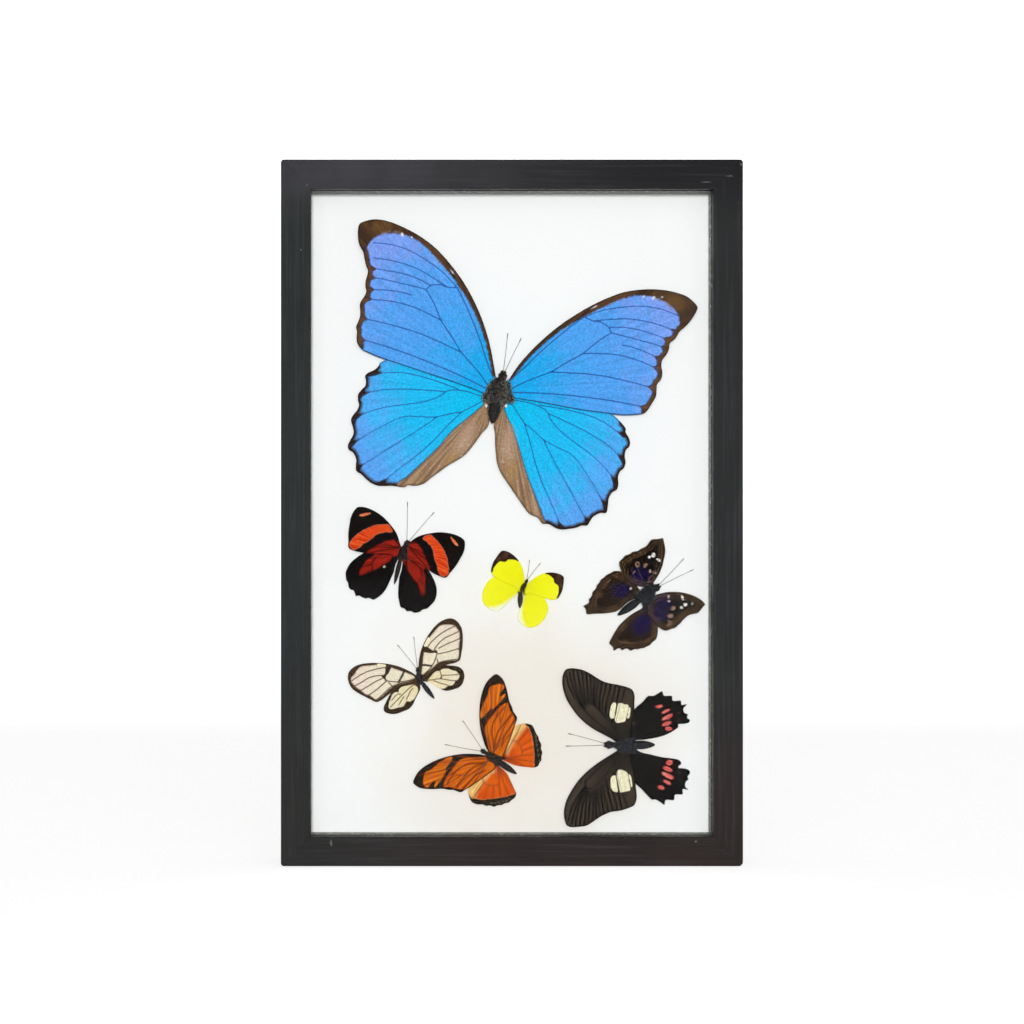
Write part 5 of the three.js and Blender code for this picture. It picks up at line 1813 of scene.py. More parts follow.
def red_species() -> Species:
    """The black butterfly with red bands."""
    base = trace("""
        -0.2 -0.3, 2 1, 3.5 0.6, 4.5 -0.3, 5.5 -1.8, 6.2 -3.5, 6.9 -5.5, 7.6 -8, 7.9 -10, 7.4 -14,
        2 -14, -3 -6""")
    band = trace("""
        6.6 1.9, 8 2.8, 9.5 2.8, 10.3 2.1, 11.5 0.8, 12.5 -0.6, 13.5 -2.4, 14.3 -4.4, 14.9 -6.8,
        15.1 -9, 15 -11, 14.6 -12.3, 13.4 -13, 12 -12.6, 11.2 -10.5, 11 -8.5, 10.4 -6.6, 10.2 -4.5,
        10 -2.5, 9.2 -1, 8 0.6""")
    streak = trace("""
        17 1.6, 17.5 1.2, 18.3 0.3, 19 -0.8, 19.6 -2, 19.2 -2.2, 18.3 -1.5, 17.6 -0.4, 17.1 0.8""")
    hind_left = trace("""
        -1 0, 2 1, 4 0, 8 -0.4, 12 -0.5, 14 -0.4, 15.5 -0.2, 16.3 0.2, 15.8 1.2, 14.5 2.3, 12.5 3.4,
        10.5 4.2, 8 4.6, 5 8, 0 6""")
    hind_right = trace("""
        -1 -1, 2 -1.3, 4 -1.2, 6 -0.9, 8 -0.6, 10 0, 12 0, 14 0, 15.3 0, 14.8 0.8, 14 1.5, 13 2.1,
        11.5 2.8, 10 3.5, 8.5 4, 7 4, 4 8, 0 6""")
    bands = Marks({"base": [base], "band": [band], "streak": [streak]}, {}, {}, (), None, 0.4)
    fore_layers = (
        Layer("base", "74120C", 0.0, 0.5, 0.6, 1.0, "B42C1C"),
        Layer("vein", "1A0806", 0.2, 0.14, 0.05, 0.85, "", True),
        Layer("band", "F49A78", 0.14, 0.2, 0.5, 0.6),
        Layer("band", "D6300C", 0.0, 0.2, 0.5, 1.0, "F4602A"),
        Layer("streak", "EC6A38", 0.0, 0.15, 0.15, 0.95, "F49468"),
    )
    hind_layers = (
        Layer("base", "78140D", 0.0, 0.35, 0.6, 1.0, "B02A1A"),
        Layer("speck", "D8CFC8", 0.0, 0.15, 0.1, 0.9),
        Layer("vein", "140706", 0.2, 0.14, 0.04, 0.85, "", True),
    )
    return Species(
        "red",
        BodyShape((-38.5, -11.6, 2.4), (-39.9, -14.8, 6.2, 2.9, 66.0), (-40.6, -16.4, -43.1, -26.8, 1.8),
                  ((88.8, 15.8), (49.1, 15.8)), 0.13, 0.8, 40.0, 0.035),
        BodyColours("0C0909", "2A201C", "1C1412", "0E0A09", "6E6058"),
        WingStyle(vein=0.05), ("0E0A08", "241A16"),
        {
            FORE: WingPaint("red_forewing", "100C0B", "0C0909", "120E0C", fore_layers, 23.0, 0.6, 0.35, 0.3),
            HIND: WingPaint("red_hindwing", "100C0B", "0B0808", "0C0909", hind_layers, 20.0, 0.6, 0.35, 0.3),
        },
        four((-40.7, -13.1, 135.3), (-38.8, -12.0, 5.5, 0.99), (-41.3, -16.1, -153.7), (-38.8, -16.8, -66.0),
             WingPlace),
        four(bands, bands,
             Marks({"base": [hind_left]}, {"speck": trace("6.7 -1.2 1 1 0, 2.4 -2.2 0.7 0.3 30")}),
             Marks({"base": [hind_right]}, {"speck": trace("1.4 0.9 0.6 0.4 0, -0.2 3.5 1.2 0.35 60")}),
             Marks),
    )


def yellow_species() -> Species:
    """The small yellow butterfly with dark wing tips."""
    tip = trace("""
        8.5 2.4, 9.3 1.6, 10 0.9, 10.6 0, 10.9 -0.8, 10.7 -1.8, 11 -2.5, 11.6 -3.1, 11.9 -4.1, 11.7 -5,
        11.3 -6, 10.9 -6.9, 10.2 -7.7, 10 -8.2, 11 -12, 20 -10, 22 0, 16 7, 9 6""")
    fore = Marks({"tip": [tip]}, {"dusk": trace("13 -0.4 3 1.6 60, 12.9 -3.6 2 1.2 80")})
    core = trace("-3 -0.4, 1 -0.8, 2.6 -1.4, 6 -2.6, 9.5 -3, 12.2 -2.4, 16 -1, 20 6, 10 16, -4 12")
    hind = Marks({"core": [core]}, {"speck": trace("1.4 -1.6 0.8 0.35 0"), "ochre": trace("""
        7.2 -1.6 0.7 0.7 0""")})
    fore_layers = (
        Layer("vein", "DCD81C", 0.1, 0.12, 0.03, 0.35, "", True),
        Layer("tip", "241810", 0.0, 0.16, 0.35, 1.0, "38241A"),
        Layer("dusk", "5A3C30", 0.0, 0.5, 0.4, 0.8, "4A3026"),
    )
    hind_layers = (
        Layer("core", "F8F8DC", 0.1, 1.0, 0.3, 1.0, "", True),
        Layer("vein", "DCD81C", 0.1, 0.12, 0.03, 0.35, "", True),
        Layer("ochre", "D8C010", 0.0, 0.3, 0.1, 0.7),
        Layer("speck", "FFFFFF", 0.0, 0.1, 0.05, 0.9),
    )
    return Species(
        "yellow",
        BodyShape((6.1, -25.5, 1.3), (4.9, -27.6, 4.8, 1.7, 60.0), (3.95, -29.2, 3.65, -35.6, 2.0),
                  ((81.4, 8.0), (52.2, 8.6)), 0.1, 0.6, 45.0, 0.03),
        BodyColours("1E1C0E", "3A3820", "2A2814", "24220F", "7A7440"),
        WingStyle(vein=0.055), ("C8C430", "E0DC50"),
        {
            FORE: WingPaint("yellow_forewing", "ECEA10", "F2F018", "F3F124", fore_layers,
                            15.0, 0.65, 0.06, 0.05, mottle=0.04),
            HIND: WingPaint("yellow_hindwing", "ECEA12", "F2F01C", "F4F22C", hind_layers,
                            15.0, 0.65, 0.06, 0.05, mottle=0.04),
        },
        four((5.4, -26.5, 120.3), (6.1, -27.0, 16.5, 0.95), (3.4, -29.4, -164.0, 1.06), (5.5, -29.9, -78.5),
             WingPlace),
        four(fore, fore, hind, hind, Marks),
    )


def purple_species() -> Species:
    """The brown butterfly with a purple sheen and pale spots."""
    sheen = trace("-1 2, 3 2, 6 1, 7 -2, 6.4 -5, 4.6 -8, 2 -10, -2 -8, -3 -2")
    small = trace("-1 0, 2 -0.6, 4.6 -2.4, 5.6 -4.4, 5 -6.6, 2.6 -8, -2 -7")
    brown_right = trace("12.6 -3.4, 13.2 -5, 10.6 -8, 8.4 -10.4, 6.6 -10.6, 7.6 -8.4, 10 -6")
    brown_left = trace("11.2 -5.4, 11.4 -6.8, 9.6 -8.6, 7.6 -11, 5.4 -11.6, 5.4 -10, 8 -8.8")
    fore_right = Marks(
        {"sheen": [sheen], "brown": [brown_right]},
        {
            "white": trace("""
                10.7 0.9 1.9 0.85 -65, 12.1 -1.5 1.3 1.1 0, 10.9 -2.7 0.9 0.9 0, 14.6 -0.7 0.6 0.6 0"""),
            "pink": trace("5.5 0.9 1 0.8 0, 5.5 0.1 0.8 0.5 0, 5.9 -1.1 1 0.8 0"),
            "tan": trace("7.8 -3.4 2 1.5 30, 7.3 -6.4 2.2 1.8 0, 7.5 -8.8 2 0.9 -40, 6.9 -9.9 1.2 0.9 0"),
            "rings": trace("13.6 -4.4 1.5 1 30, 12.2 -6.6 1.3 1 30, 10.4 -8.8 1.2 0.9 30"),
        },
        {"lilac": traces("1 -3.8, 3.4 -5.4, 6 -7.5; 1 -7, 2.6 -8.2, 4 -9.2")})
    fore_left = Marks(
        {"sheen": [small], "brown": [brown_left]},
        {
            "white": trace("9.7 0.3 1.6 0.8 105, 11 -2 1.6 1.3 0, 9.9 -3.3 0.9 0.9 0"),
            "pink": trace("4.7 0.3 1 0.8 0, 4.7 -0.6 1.2 0.35 0, 4.9 -1.8 1.2 1 0, 0.9 -1.5 1.2 0.4 60"),
            "tan": trace("6.6 -4 1.8 1.4 30, 6.3 -7 2.2 1.9 0, 3.2 -7.5 1.2 0.7 20"),
            "rings": trace("6.4 -7 0.9 0.8 0, 12.6 -5.6 1.2 0.9 30, 10.6 -8.4 1.1 0.9 30"),
        },
        {"lilac": traces("1 -3.8, 3.4 -5.4, 5.6 -7.2; 1 -6.5, 2.6 -7.8, 4 -9")})
    patch_right = trace("2 2.6, 3.4 5.6, 6 6.2, 9 5.2, 10 3, 9.4 1, 7 -0.2, 4 0.4")
    hind_right = Marks(
        {"sheen": [patch_right]},
        {"tan": trace("""
            11.5 -2.6 3.6 1.5 -8, 4.6 7.8 3.4 1.6 40, 13.6 4.6 1.6 1 -50, 14.6 1.6 1.4 0.9 -70"""),
         "white": trace("3 -1.6 1 0.45 -20"),
         "rings": trace("12.6 6 1.2 1 0, 14 3.2 1.1 1 0, 14.4 0.2 1.1 0.9 0")},
        {"arc": traces("6 9.5, 10 8, 13 5, 15.5 1.5, 16.5 -1")})
    patch_left = trace("2.4 3.4, 4 5.4, 6.4 5.6, 8 4.4, 8.4 2.4, 6.6 1, 4 1.4")
    hind_left = Marks(
        {"sheen": [patch_left]},
        {"tan": trace("10.5 -3 5 1.3 -8, 5.6 8.4 3.4 1.6 40, 13.2 2.6 1.6 1 -60"),
         "white": trace("1.9 3.4 0.8 0.8 0, 1.4 -4.9 2 0.45 0"),
         "rings": trace("12.4 4.6 1.2 1 0, 13.4 1.6 1.1 1 0, 13.4 -0.8 1.1 0.9 0")},
        {"arc": traces("9 8, 12 5.5, 14 3.5, 15.5 1.2, 15.8 -1")})
    fore_layers = (
        Layer("sheen", "0E0820", 0.2, 1.2, 1.4, 0.9, "20124A"),
        Layer("brown", "6A4A30", 0.0, 0.6, 0.8, 0.55, "38281C"),
        Layer("vein", "0A0605", 0.2, 0.14, 0.05, 0.85, "", True),
        Layer("lilac", "6A5AA0", 0.12, 0.2, 0.1, 0.6),
        Layer("tan", "B89484", 0.0, 0.2, 0.3, 0.8, "8A6450"),
        Layer("rings", "120A08", 0.0, 0.2, 0.15, 0.85),
        Layer("pink", "C8A8A0", 0.0, 0.15, 0.12, 0.9),
        Layer("white", "F6F2EE", 0.08, 0.12, 0.1, 1.0),
        Layer("waves", "86684A", 0.0, 0.14, 0.25, 0.8, "4A3424", bands=((0.4, 0.3), (1.3, 0.4), (2.2, 0.3))),
    )
    hind_layers = (
        Layer("sheen", "120A24", 0.2, 1.3, 1.6, 0.9, "28165C"),
        Layer("vein", "0A0605", 0.2, 0.14, 0.05, 0.85, "", True),
        Layer("arc", "86664A", 0.3, 0.3, 0.4, 0.8, "4A3424"),
        Layer("tan", "7A5A3E", 0.0, 0.6, 0.8, 0.65, "4A3424"),
        Layer("rings", "1A100A", 0.0, 0.2, 0.15, 0.85),
        Layer("white", "F6F2EE", 0.05, 0.12, 0.1, 0.95),
        Layer("waves", "7E6448", 0.0, 0.14, 0.25, 0.75, "402C20", bands=((0.4, 0.3), (1.3, 0.4), (2.2, 0.3))),
    )
    return Species(
        "purple",
        BodyShape((54.2, -28.0, 3.0), (51.0, -30.5, 7.2, 4.0, 36.0), (48.6, -32.1, 39.9, -38.2, 3.1),
                  ((46.4, 15.3), (26.3, 15.7)), 0.16, 0.9, 34.0, 0.04),
        BodyColours("08080A", "20222A", "101218", "08080A", "727884"),
        WingStyle(), ("140C08", "2A1C14"),
        {
            FORE: WingPaint("purple_forewing", "0A0609", "130C08", "1A110B", fore_layers,
                            20.0, 0.6, 0.6, 0.5, mottle=0.55),
            HIND: WingPaint("purple_hindwing", "160E0A", "2A1C12", "1E130C", hind_layers,
                            18.0, 0.6, 0.6, 0.5, mottle=0.5),
        },
        four((52.7, -26.9, 76.8), (53.4, -30.9, -8.5), (47.4, -31.2, -169.8), (50.2, -34.8, -125.3),
             WingPlace),
        four(fore_left, fore_right, hind_left, hind_right, Marks),
    )


def glass_species() -> Species:
    """The clear-winged butterfly with dark bars."""
    window_left = trace("""
        0.5 -0.2, 2 0.9, 5 2, 9 3.2, 12 3.9, 15 4.2, 20 3.7, 21.3 3, 22.3 1.8, 23 0.6, 23.9 -0.3,
        24.2 -1.8, 23 -3.3, 22 -4.3, 20.5 -5.2, 19 -6.5, 17.5 -6.9, 16 -7.9, 15 -8.5, 14 -8.3, 12 -6.8,
        9.5 -4.4, 8 -3.3, 6.5 -2.4, 3 -1.6""")
    window_right = trace("""
        0.5 -0.3, 2 0.8, 5 2.2, 8 3.6, 10 4.4, 13 4.6, 16 4.3, 19 3.7, 20.3 2.8, 21.5 1, 22 0,
        22.3 -1.2, 21.7 -2.5, 21.3 -3.6, 19 -5.2, 16 -6.7, 14 -8, 12.7 -8.4, 11.5 -8, 9.6 -5.4,
        7.4 -3.2, 4 -2""")
    bar_left = trace("""
        8.8 5.2, 9.8 2.2, 10.6 0.8, 11.2 0, 11.2 -0.8, 10.8 -1.4, 11.4 -1.9, 11.6 -1.2, 12.5 -0.5,
        12.8 0.2, 11.7 1, 11.5 2.5, 11.3 5.4""")
    bar_right = trace("""
        7.4 5.2, 8.6 1.8, 9 1, 9.8 0, 9.9 -1, 10.5 -1, 10.9 0.2, 10.2 0.9, 10.2 2.2, 10.2 3.5, 9.8 5.6""")
    cream_left = trace("11.3 3.9, 11.6 4.4, 14 4.7, 14.6 4.3, 12.5 3.6")
    cream_right = trace("9.9 4.2, 10.2 4.8, 13.3 5, 13.1 4.3, 11.4 4")
    veins_left = traces("""
        11.2 3.2, 12.4 3.3, 15 2.7, 18 1.8, 21 0.3, 24 -1.8;
        12 0.5, 15 0.2, 17.5 -0.5, 20 -2.1, 23 -3.8;
        12 -0.4, 15 -1.9, 18 -3.8, 20.5 -5.3;
        11 -1.7, 12.5 -3, 14.5 -4.8, 17.5 -7;
        1 -0.9, 4 -1.6, 6.5 -1.9, 9 -1.8, 11.2 -1.5;
        9 -3.3, 10.2 -2.2;
        1 -1.8, 5 -2.6, 9 -3.7, 12 -6.4, 14.4 -8.6""")
    veins_right = traces("""
        10 3.2, 11.4 3.3, 14 2.8, 17 1.8, 19.5 0.5, 22.5 -1.3;
        10.5 0.8, 14 0.5, 16.5 -0.4, 19 -2, 21.5 -3.6;
        12 -0.4, 15 -2.2, 17.5 -4, 19.3 -5.2;
        10 -1.2, 12 -3.3, 14 -5.2, 15.9 -6.8;
        1 -0.9, 4 -1.6, 6 -1.7, 8 -1.4, 9.7 -1;
        7.2 -3, 8.3 -2;
        1 -1.8, 4 -2.4, 7.4 -3.3, 9.8 -5.6, 12 -8.2""")
    hind_window_right = trace("""
        2 0, 3 1.2, 4 2.5, 5 3.2, 6.4 3.4, 7 4, 8.5 4.2, 10 4, 11 3.6, 12 3.4, 12.8 2.8, 13.6 1.8,
        13.2 0.8, 12.8 0.1, 12 -0.2, 11.6 -1.1, 11 -1.8, 9.8 -1.9, 9 -2.3, 8.3 -2.9, 7 -3.3, 4 -3,
        2 -1.6""")
    hind_window_left = trace("""
        2 0, 4 1.2, 5.5 2, 7.3 1.9, 8.1 1.2, 9 1.9, 10.5 2, 12 1.1, 13.5 0.2, 14.4 -0.8, 14.3 -1.8,
        13.2 -2.5, 12 -2.9, 11 -3.4, 10 -3.9, 9 -3.6, 7.8 -3.1, 7.2 -3.8, 5.6 -4.2, 3 -3.4, 1.6 -1.8""")
    hind_veins_right = traces("""
        0.8 -0.2, 3 -0.1, 5 0.3, 7 0.4, 10 0, 13 -0.1;
        7 0.4, 7 1.6, 10 1.9, 13.5 2.2;
        4 -0.4, 7 -1.3, 9.5 -1.9;
        6.3 3.3, 6.8 1.5, 6.3 0.4""")
    hind_veins_left = traces("""
        0.8 -0.2, 4 0, 8 -0.4, 11 -0.8, 14 -1.2;
        3 -0.8, 5 -1.4, 7.5 -2.7;
        7.5 -1.2, 11 -2.5;
        8 0.2, 9 1, 12 0.5""")
    fore_left = Marks({"window": [window_left], "bar": [bar_left], "cream": [cream_left]}, {},
                      {"crossbar": traces("4.4 2.1, 5.3 0.2, 6.4 -2")}, veins_left)
    fore_right = Marks({"window": [window_right], "bar": [bar_right], "cream": [cream_right]}, {},
                       {"crossbar": traces("3.5 1.6, 4.2 0.2, 5 -1.5")}, veins_right)
    hind_left = Marks({"window": [hind_window_left]}, {}, {}, hind_veins_left)
    hind_right = Marks({"window": [hind_window_right]}, {}, {}, hind_veins_right)
    fore_layers = (
        Layer("window", "8A5C40", 0.25, 0.35, 0.3, 0.45, "", True),
        Layer("window", "4A3422", -0.05, 0.16, 0.25, 1.0, "2E2216", True),
        Layer("bar", "2E2012", 0.0, 0.18, 0.2, 1.0, "3C2A18"),
        Layer("crossbar", "2E2012", 0.42, 0.14, 0.15, 0.95),
        Layer("vein", "5A3C24", 0.22, 0.14, 0.05, 0.9, "", True),
        Layer("cream", "F4E8C4", 0.1, 0.12, 0.1, 0.95),
    )
    hind_layers = (
        Layer("window", "3A2A18", -0.05, 0.16, 0.25, 1.0, "261C10", True),
        Layer("vein", "6A4C30", 0.2, 0.14, 0.05, 0.85, "", True),
    )
    return Species(
        "glass",
        BodyShape((-34.3, -58.6, 1.7), (-33.7, -61.4, 5.2, 2.3, 97.0), (-33.1, -62.9, -28.1, -69.3, 1.9),
                  ((128.9, 12.3), (96.9, 12.7)), 0.11, 0.6, 42.0, 0.03),
        BodyColours("0C0C10", "2A262A", "181418", "100E10", "6A625A"),
        WingStyle(0.3, 0.08, 0.11, 0.06), ("3A2C1A", "6A563A"),
        {
            FORE: WingPaint("clear_forewing", "FFF4D8", "FFF4DC", "FFEEDC", fore_layers,
                            24.0, 0.35, 0.12, 0.04, 0.3),
            HIND: WingPaint("clear_hindwing", "FFEEBC", "FFF2CC", "FFF4D6", hind_layers,
                            15.0, 0.35, 0.12, 0.04, 0.3),
        },
        four((-35.0, -61.1, 179.2), (-33.2, -60.4, 58.3), (-34.3, -62.8, -141.8), (-32.4, -62.1, -1.3),
             WingPlace),
        four(fore_left, fore_right, hind_left, hind_right, Marks),
    )


def orange_species() -> Species:
    """The orange butterfly with dark wing edges."""
    inner = trace("""
        0.5 0.3, 3 1.4, 5 2, 8 2.7, 10.5 2.6, 12 1.9, 13.5 0.9, 15.5 -0.5, 17.3 -2, 18.6 -3.4,
        19.3 -4.7, 19.2 -5.5, 17.5 -5.9, 16.3 -6.5, 15.5 -7.1, 14.3 -7.7, 13.6 -8.1, 12.8 -8.6, 10 -14,
        2 -12, -2 -4""")
    outer = trace("""
        13 4.4, 14.5 4.9, 16 4.6, 18.5 3.8, 20.5 2.9, 22.5 2.1, 24.5 1.8, 25.4 0.9, 26 -0.5, 26.4 -2,
        26.2 -3.2, 25.3 -3.8, 24.4 -3.4, 23.3 -2.6, 22.2 -2.1, 21.8 -2.4, 22.3 -3.4, 22.9 -4.3,
        22.2 -4.4, 21 -3.6, 19 -2, 17.3 -0.3, 16.8 0.3, 17 1, 16 1.8, 14.8 2.6, 14.1 3.3, 13.8 3.9""")
    warm = {"veins": traces("""
        0 -0.8, 5 -0.4, 8 0.2, 12 -0.3, 15 -2, 18 -4.5;
        3 -1, 8 -1.8, 12 -4.5, 15 -6.5;
        3 -3.8, 7 -4.5, 11 -7, 13 -8"""),
            "bars": traces("13.2 3.2, 15.4 1.4, 16.6 -0.2; 19.4 -2.6, 21 -4.6")}
    fore = Marks({"inner": [inner], "outer": [outer]}, {}, warm)
    hind_left = Marks(
        {"field": traces("""
            12.8 9.2, 13.4 8, 13.5 6, 13.6 4, 13.2 2.5, 12.8 0, 12.3 -2, 11.9 -4, 11.4 -5.4, 10.8 -6.6,
            10.2 -7.5, 4 -9, -4 -6, -4 4, 2 8, 8 12"""),
         "light": traces("2 0.8, 4 2.3, 6 3.9, 8 5.2, 10 6.4, 12 7.2, 13.4 8.2, 13 13, 4 12, -2 6")},
        {"dots": trace("""
            14.6 1 0.7 0.5 80, 14.5 -0.4 0.7 0.5 80, 14.1 -1.7 0.7 0.5 70, 13.6 -3.2 0.7 0.5 70,
            13.3 -4.5 0.7 0.5 60, 12.4 -5.4 0.6 0.5 50""")},
        {"ochre": traces("0.5 -1.6, 4 -4, 8 -6.4, 10.6 -7.8")})
    hind_right = Marks(
        {"field": traces("""
            10.3 11.2, 11.2 10, 11.6 8.5, 12 6, 11.9 3, 11.8 0, 11.5 -2, 11.2 -3.5, 10.6 -5, 4 -7,
            -4 -5, -4 6, 4 14, 9 16"""),
         "light": traces("1.5 1.5, 3.5 3.5, 5.5 6, 7.5 8, 9.5 9.7, 10.6 11.6, 8 15, 0 8")},
        {"dots": [(13.3, v, 0.7, 0.5, 80) for v in (6, 4.5, 3, 1, -1, -3)]},
        {"ochre": traces("0.5 -1.2, 4 -3, 8 -4.2, 10.6 -4.8; 4 5.5, 6.5 7.6, 9 9.3")})
    fore_layers = (
        Layer("inner", "C44608", 0.0, 0.2, 0.4, 1.0, "F07E12"),
        Layer("outer", "CE5408", 0.0, 0.2, 0.35, 1.0, "F0861C"),
        Layer("vein", "6A2006", 0.22, 0.16, 0.06, 0.75, "", True),
        Layer("veins", "5A1A06", 0.26, 0.2, 0.1, 0.85),
        Layer("bars", "8A8070", 0.1, 0.3, 0.2, 0.3),
        Layer("border", "1A1208", 0.4, 0.2, 0.2, 0.9, "", True),
    )
    hind_layers = (
        Layer("light", "F8BC5C", 0.0, 1.3, 0.9, 0.95, "FFE2A0"),
        Layer("ochre", "B05A14", 0.2, 0.5, 0.3, 0.5),
        Layer("vein", "7A2606", 0.2, 0.16, 0.05, 0.75, "", True),
        Layer("field", "F0A060", 0.25, 0.2, 0.4, 0.6, "", True),
        Layer("field", "1E160C", 0.0, 0.2, 0.4, 1.0, "2A1E12", True),
        Layer("dots", "9A9484", 0.0, 0.15, 0.1, 0.8),
    )
    return Species(
        "orange",
        BodyShape((-9.8, -88.9, 2.0), (-6.7, -91.0, 6.4, 2.6, 146.0), (-5.2, -92.0, 2.6, -97.3, 2.5),
                  ((124.2, 14.1), (169.4, 14.8)), 0.13, 0.8, 38.0, 0.035),
        BodyColours("0E0A0A", "2E2420", "1E1614", "100A08", "7A6450"),
        WingStyle(), ("6A3410", "8A4A18"),
        {
            FORE: WingPaint("orange_forewing", "1E160C", "22180E", "241A10", fore_layers,
                            30.0, 0.6, 0.6, 0.2, mottle=0.16),
            HIND: WingPaint("orange_hindwing", "D04606", "EC620C", "DC5008", hind_layers,
                            16.0, 0.6, 0.6, 0.18, mottle=0.16),
        },
        four((-7.5, -91.4, -163.7), (-6.9, -89.9, 87.9), (-4.8, -93.6, -94.1), (-2.6, -91.4, 9.1), WingPlace),
        four(fore, fore, hind_left, hind_right, Marks),
    )


def pink_species() -> Species:
    """The long-winged black butterfly with cream and pink marks."""
    cream_right = traces("""
        8.1 -3.8, 8.4 -2.8, 9.2 -2.6, 10.2 -3, 11.4 -4.2, 12.4 -5.4, 12.9 -6.6, 12.5 -7.6, 11.6 -7.4,
        10.6 -6.4, 9.2 -5;
        4.6 -6, 5.2 -4.6, 5.8 -3.5, 6.6 -3.2, 7.6 -3.6, 9 -5.2, 10.4 -6.8, 11.4 -8.1, 11.3 -8.9,
        10.5 -9.7, 9.8 -9.7, 9.3 -10.6, 8.6 -10.9, 7.8 -10.3, 6.5 -8.8, 5.2 -7.2;
        4.7 -7.4, 5.3 -7.5, 6.5 -9, 7.8 -10.4, 7.4 -10.9, 6.2 -10, 5 -8.7, 4.6 -8""")
    cream_left = traces("""
        8.6 -4, 9.5 -3.4, 10.8 -3.7, 12.2 -4.6, 13.4 -5.8, 13.8 -7, 13.2 -8.8, 12.4 -8.4, 11 -7,
        9.6 -5.6, 8.7 -4.6;
        5.4 -5, 6 -4.1, 7 -3.9, 8.2 -4.6, 9.6 -6, 11 -7.6, 12.4 -9.2, 12.6 -9.8, 11.6 -10.6, 10.6 -11.6,
        9.8 -12.1, 8.8 -11.4, 7 -9.4, 5.5 -8, 5 -6.6;
        5.2 -8, 6 -8.6, 7.6 -10.4, 8.8 -11.6, 8.3 -12, 7.2 -11.2, 5.8 -9.8, 5 -8.6""")
    rays = traces("""
        17 3.4, 22 3.4, 27 2.6, 31.5 0.8;
        18 2.5, 23 1.5, 28 -0.5, 31.8 -2.6;
        18.5 1, 23 -1, 27 -3.6, 30 -5;
        17.5 -0.5, 21 -2.8, 25 -5.6, 27 -6.7;
        15.5 -1, 19 -3.8, 22.5 -7.2, 23.5 -7.9;
        13 -1.6, 16 -4.5, 19 -8, 20.3 -9.5;
        9.5 -2, 13 -6, 16 -10, 18 -11.6;
        5 -2, 8 -5, 11 -9, 14.5 -14""")
    cell = traces("""
        0.6 0, 6 1.2, 12 2.6, 17 3.4;
        0.6 -0.6, 6 -1.4, 12 -1.2, 17.5 -0.5;
        17 3.4, 18.4 2, 18.5 1, 17.5 -0.5""")

    def between(lines: list[list[Point]]) -> list[list[Point]]:
        """Lay one line in the middle between each two neighbours."""
        return [[((a + c) / 2, (b + d) / 2) for (a, b), (c, d) in zip(one, two)]
                for one, two in zip(lines, lines[1:])]

    def shifted(lines: list[list[Point]]) -> list[list[Point]]:
        """Move lines to where they lie on the left wing."""
        return [[(u + 1, v - 1) for u, v in line] for line in lines]

    fore_right = Marks({"cream": cream_right}, {}, {"rays": between(rays)}, rays + cell)
    fore_left = Marks({"cream": cream_left}, {}, {"rays": between(shifted(rays))}, shifted(rays) + cell)
    hind_right = Marks({}, {
        "rose": trace("""
            13 8.6 2.4 1.1 -10, 14.8 6.1 2.8 0.9 5, 14.6 3.8 4.2 1.4 5, 13.5 1.6 3.3 1.3 0,
            13.6 -0.4 2.4 1.4 -20"""),
        "pale": trace("13.4 3.7 1.4 0.7 5, 18.2 1.2 0.6 0.4 0, 19.1 3.9 0.6 0.4 0, 2 5.8 1.2 0.3 20")})
    hind_left = Marks({}, {
        "rose": trace("""
            13.9 9.3 2.4 1.3 0, 15.3 6.7 3.1 1 5, 14.7 4.3 4.6 1.6 5, 13.7 2 3.5 1.4 0,
            13.5 -0.4 2.4 1.9 -35"""),
        "pale": trace("13.4 4.2 1.4 0.7 5, 19.6 4.3 0.6 0.4 0, 18.3 1.8 0.6 0.4 0")})
    fore_layers = (
        Layer("vein", "040303", 0.34, 0.2, 0.06, 1.0, "", True),
        Layer("rays", "060403", 0.38, 0.2, 0.06, 1.0),
        Layer("cream", "F8EEC2", -0.1, 0.14, 0.2, 1.0, "FFF8DE"),
        Layer("border", "100D0B", 0.6, 0.4, 0.2, 0.9, "", True),
    )
    hind_layers = (
        Layer("rose", "DC5450", 0.06, 0.16, 0.3, 1.0, "EC7A70"),
        Layer("pale", "D8B0A8", 0.0, 0.15, 0.1, 0.6),
    )
    return Species(
        "pink",
        BodyShape((37.0, -86.3, 3.2), (42.4, -86.4, 8.6, 3.4, 180.0), (44.6, -86.4, 54.0, -86.3, 3.3),
                  ((164.7, 16.0), (181.8, 16.4)), 0.16, 0.9, 34.0, 0.04),
        BodyColours("0A090A", "24242A", "141216", "080808", "6A6C78"),
        WingStyle(), ("0C0A08", "1C1814"),
        {
            FORE: WingPaint("pink_forewing", "241E18", "40362C", "463C30", fore_layers,
                            34.0, 0.6, 0.35, 0.28),
            HIND: WingPaint("pink_hindwing", "0A0807", "0C0908", "0A0807", hind_layers, 22.0, 0.6, 0.3, 0.3),
        },
        four((40.7, -88.2, -126.2), (40.7, -85.0, 127.6), (46.6, -88.6, -20.9), (46.1, -84.5, 19.4),
             WingPlace),
        four(fore_left, fore_right, hind_left, hind_right, Marks),
    )


def all_species() -> list[Species]:
    """Give the seven butterflies."""
    return [blue_species(), red_species(), yellow_species(), purple_species(), glass_species(),
            orange_species(), pink_species()]


# Light, floor and camera


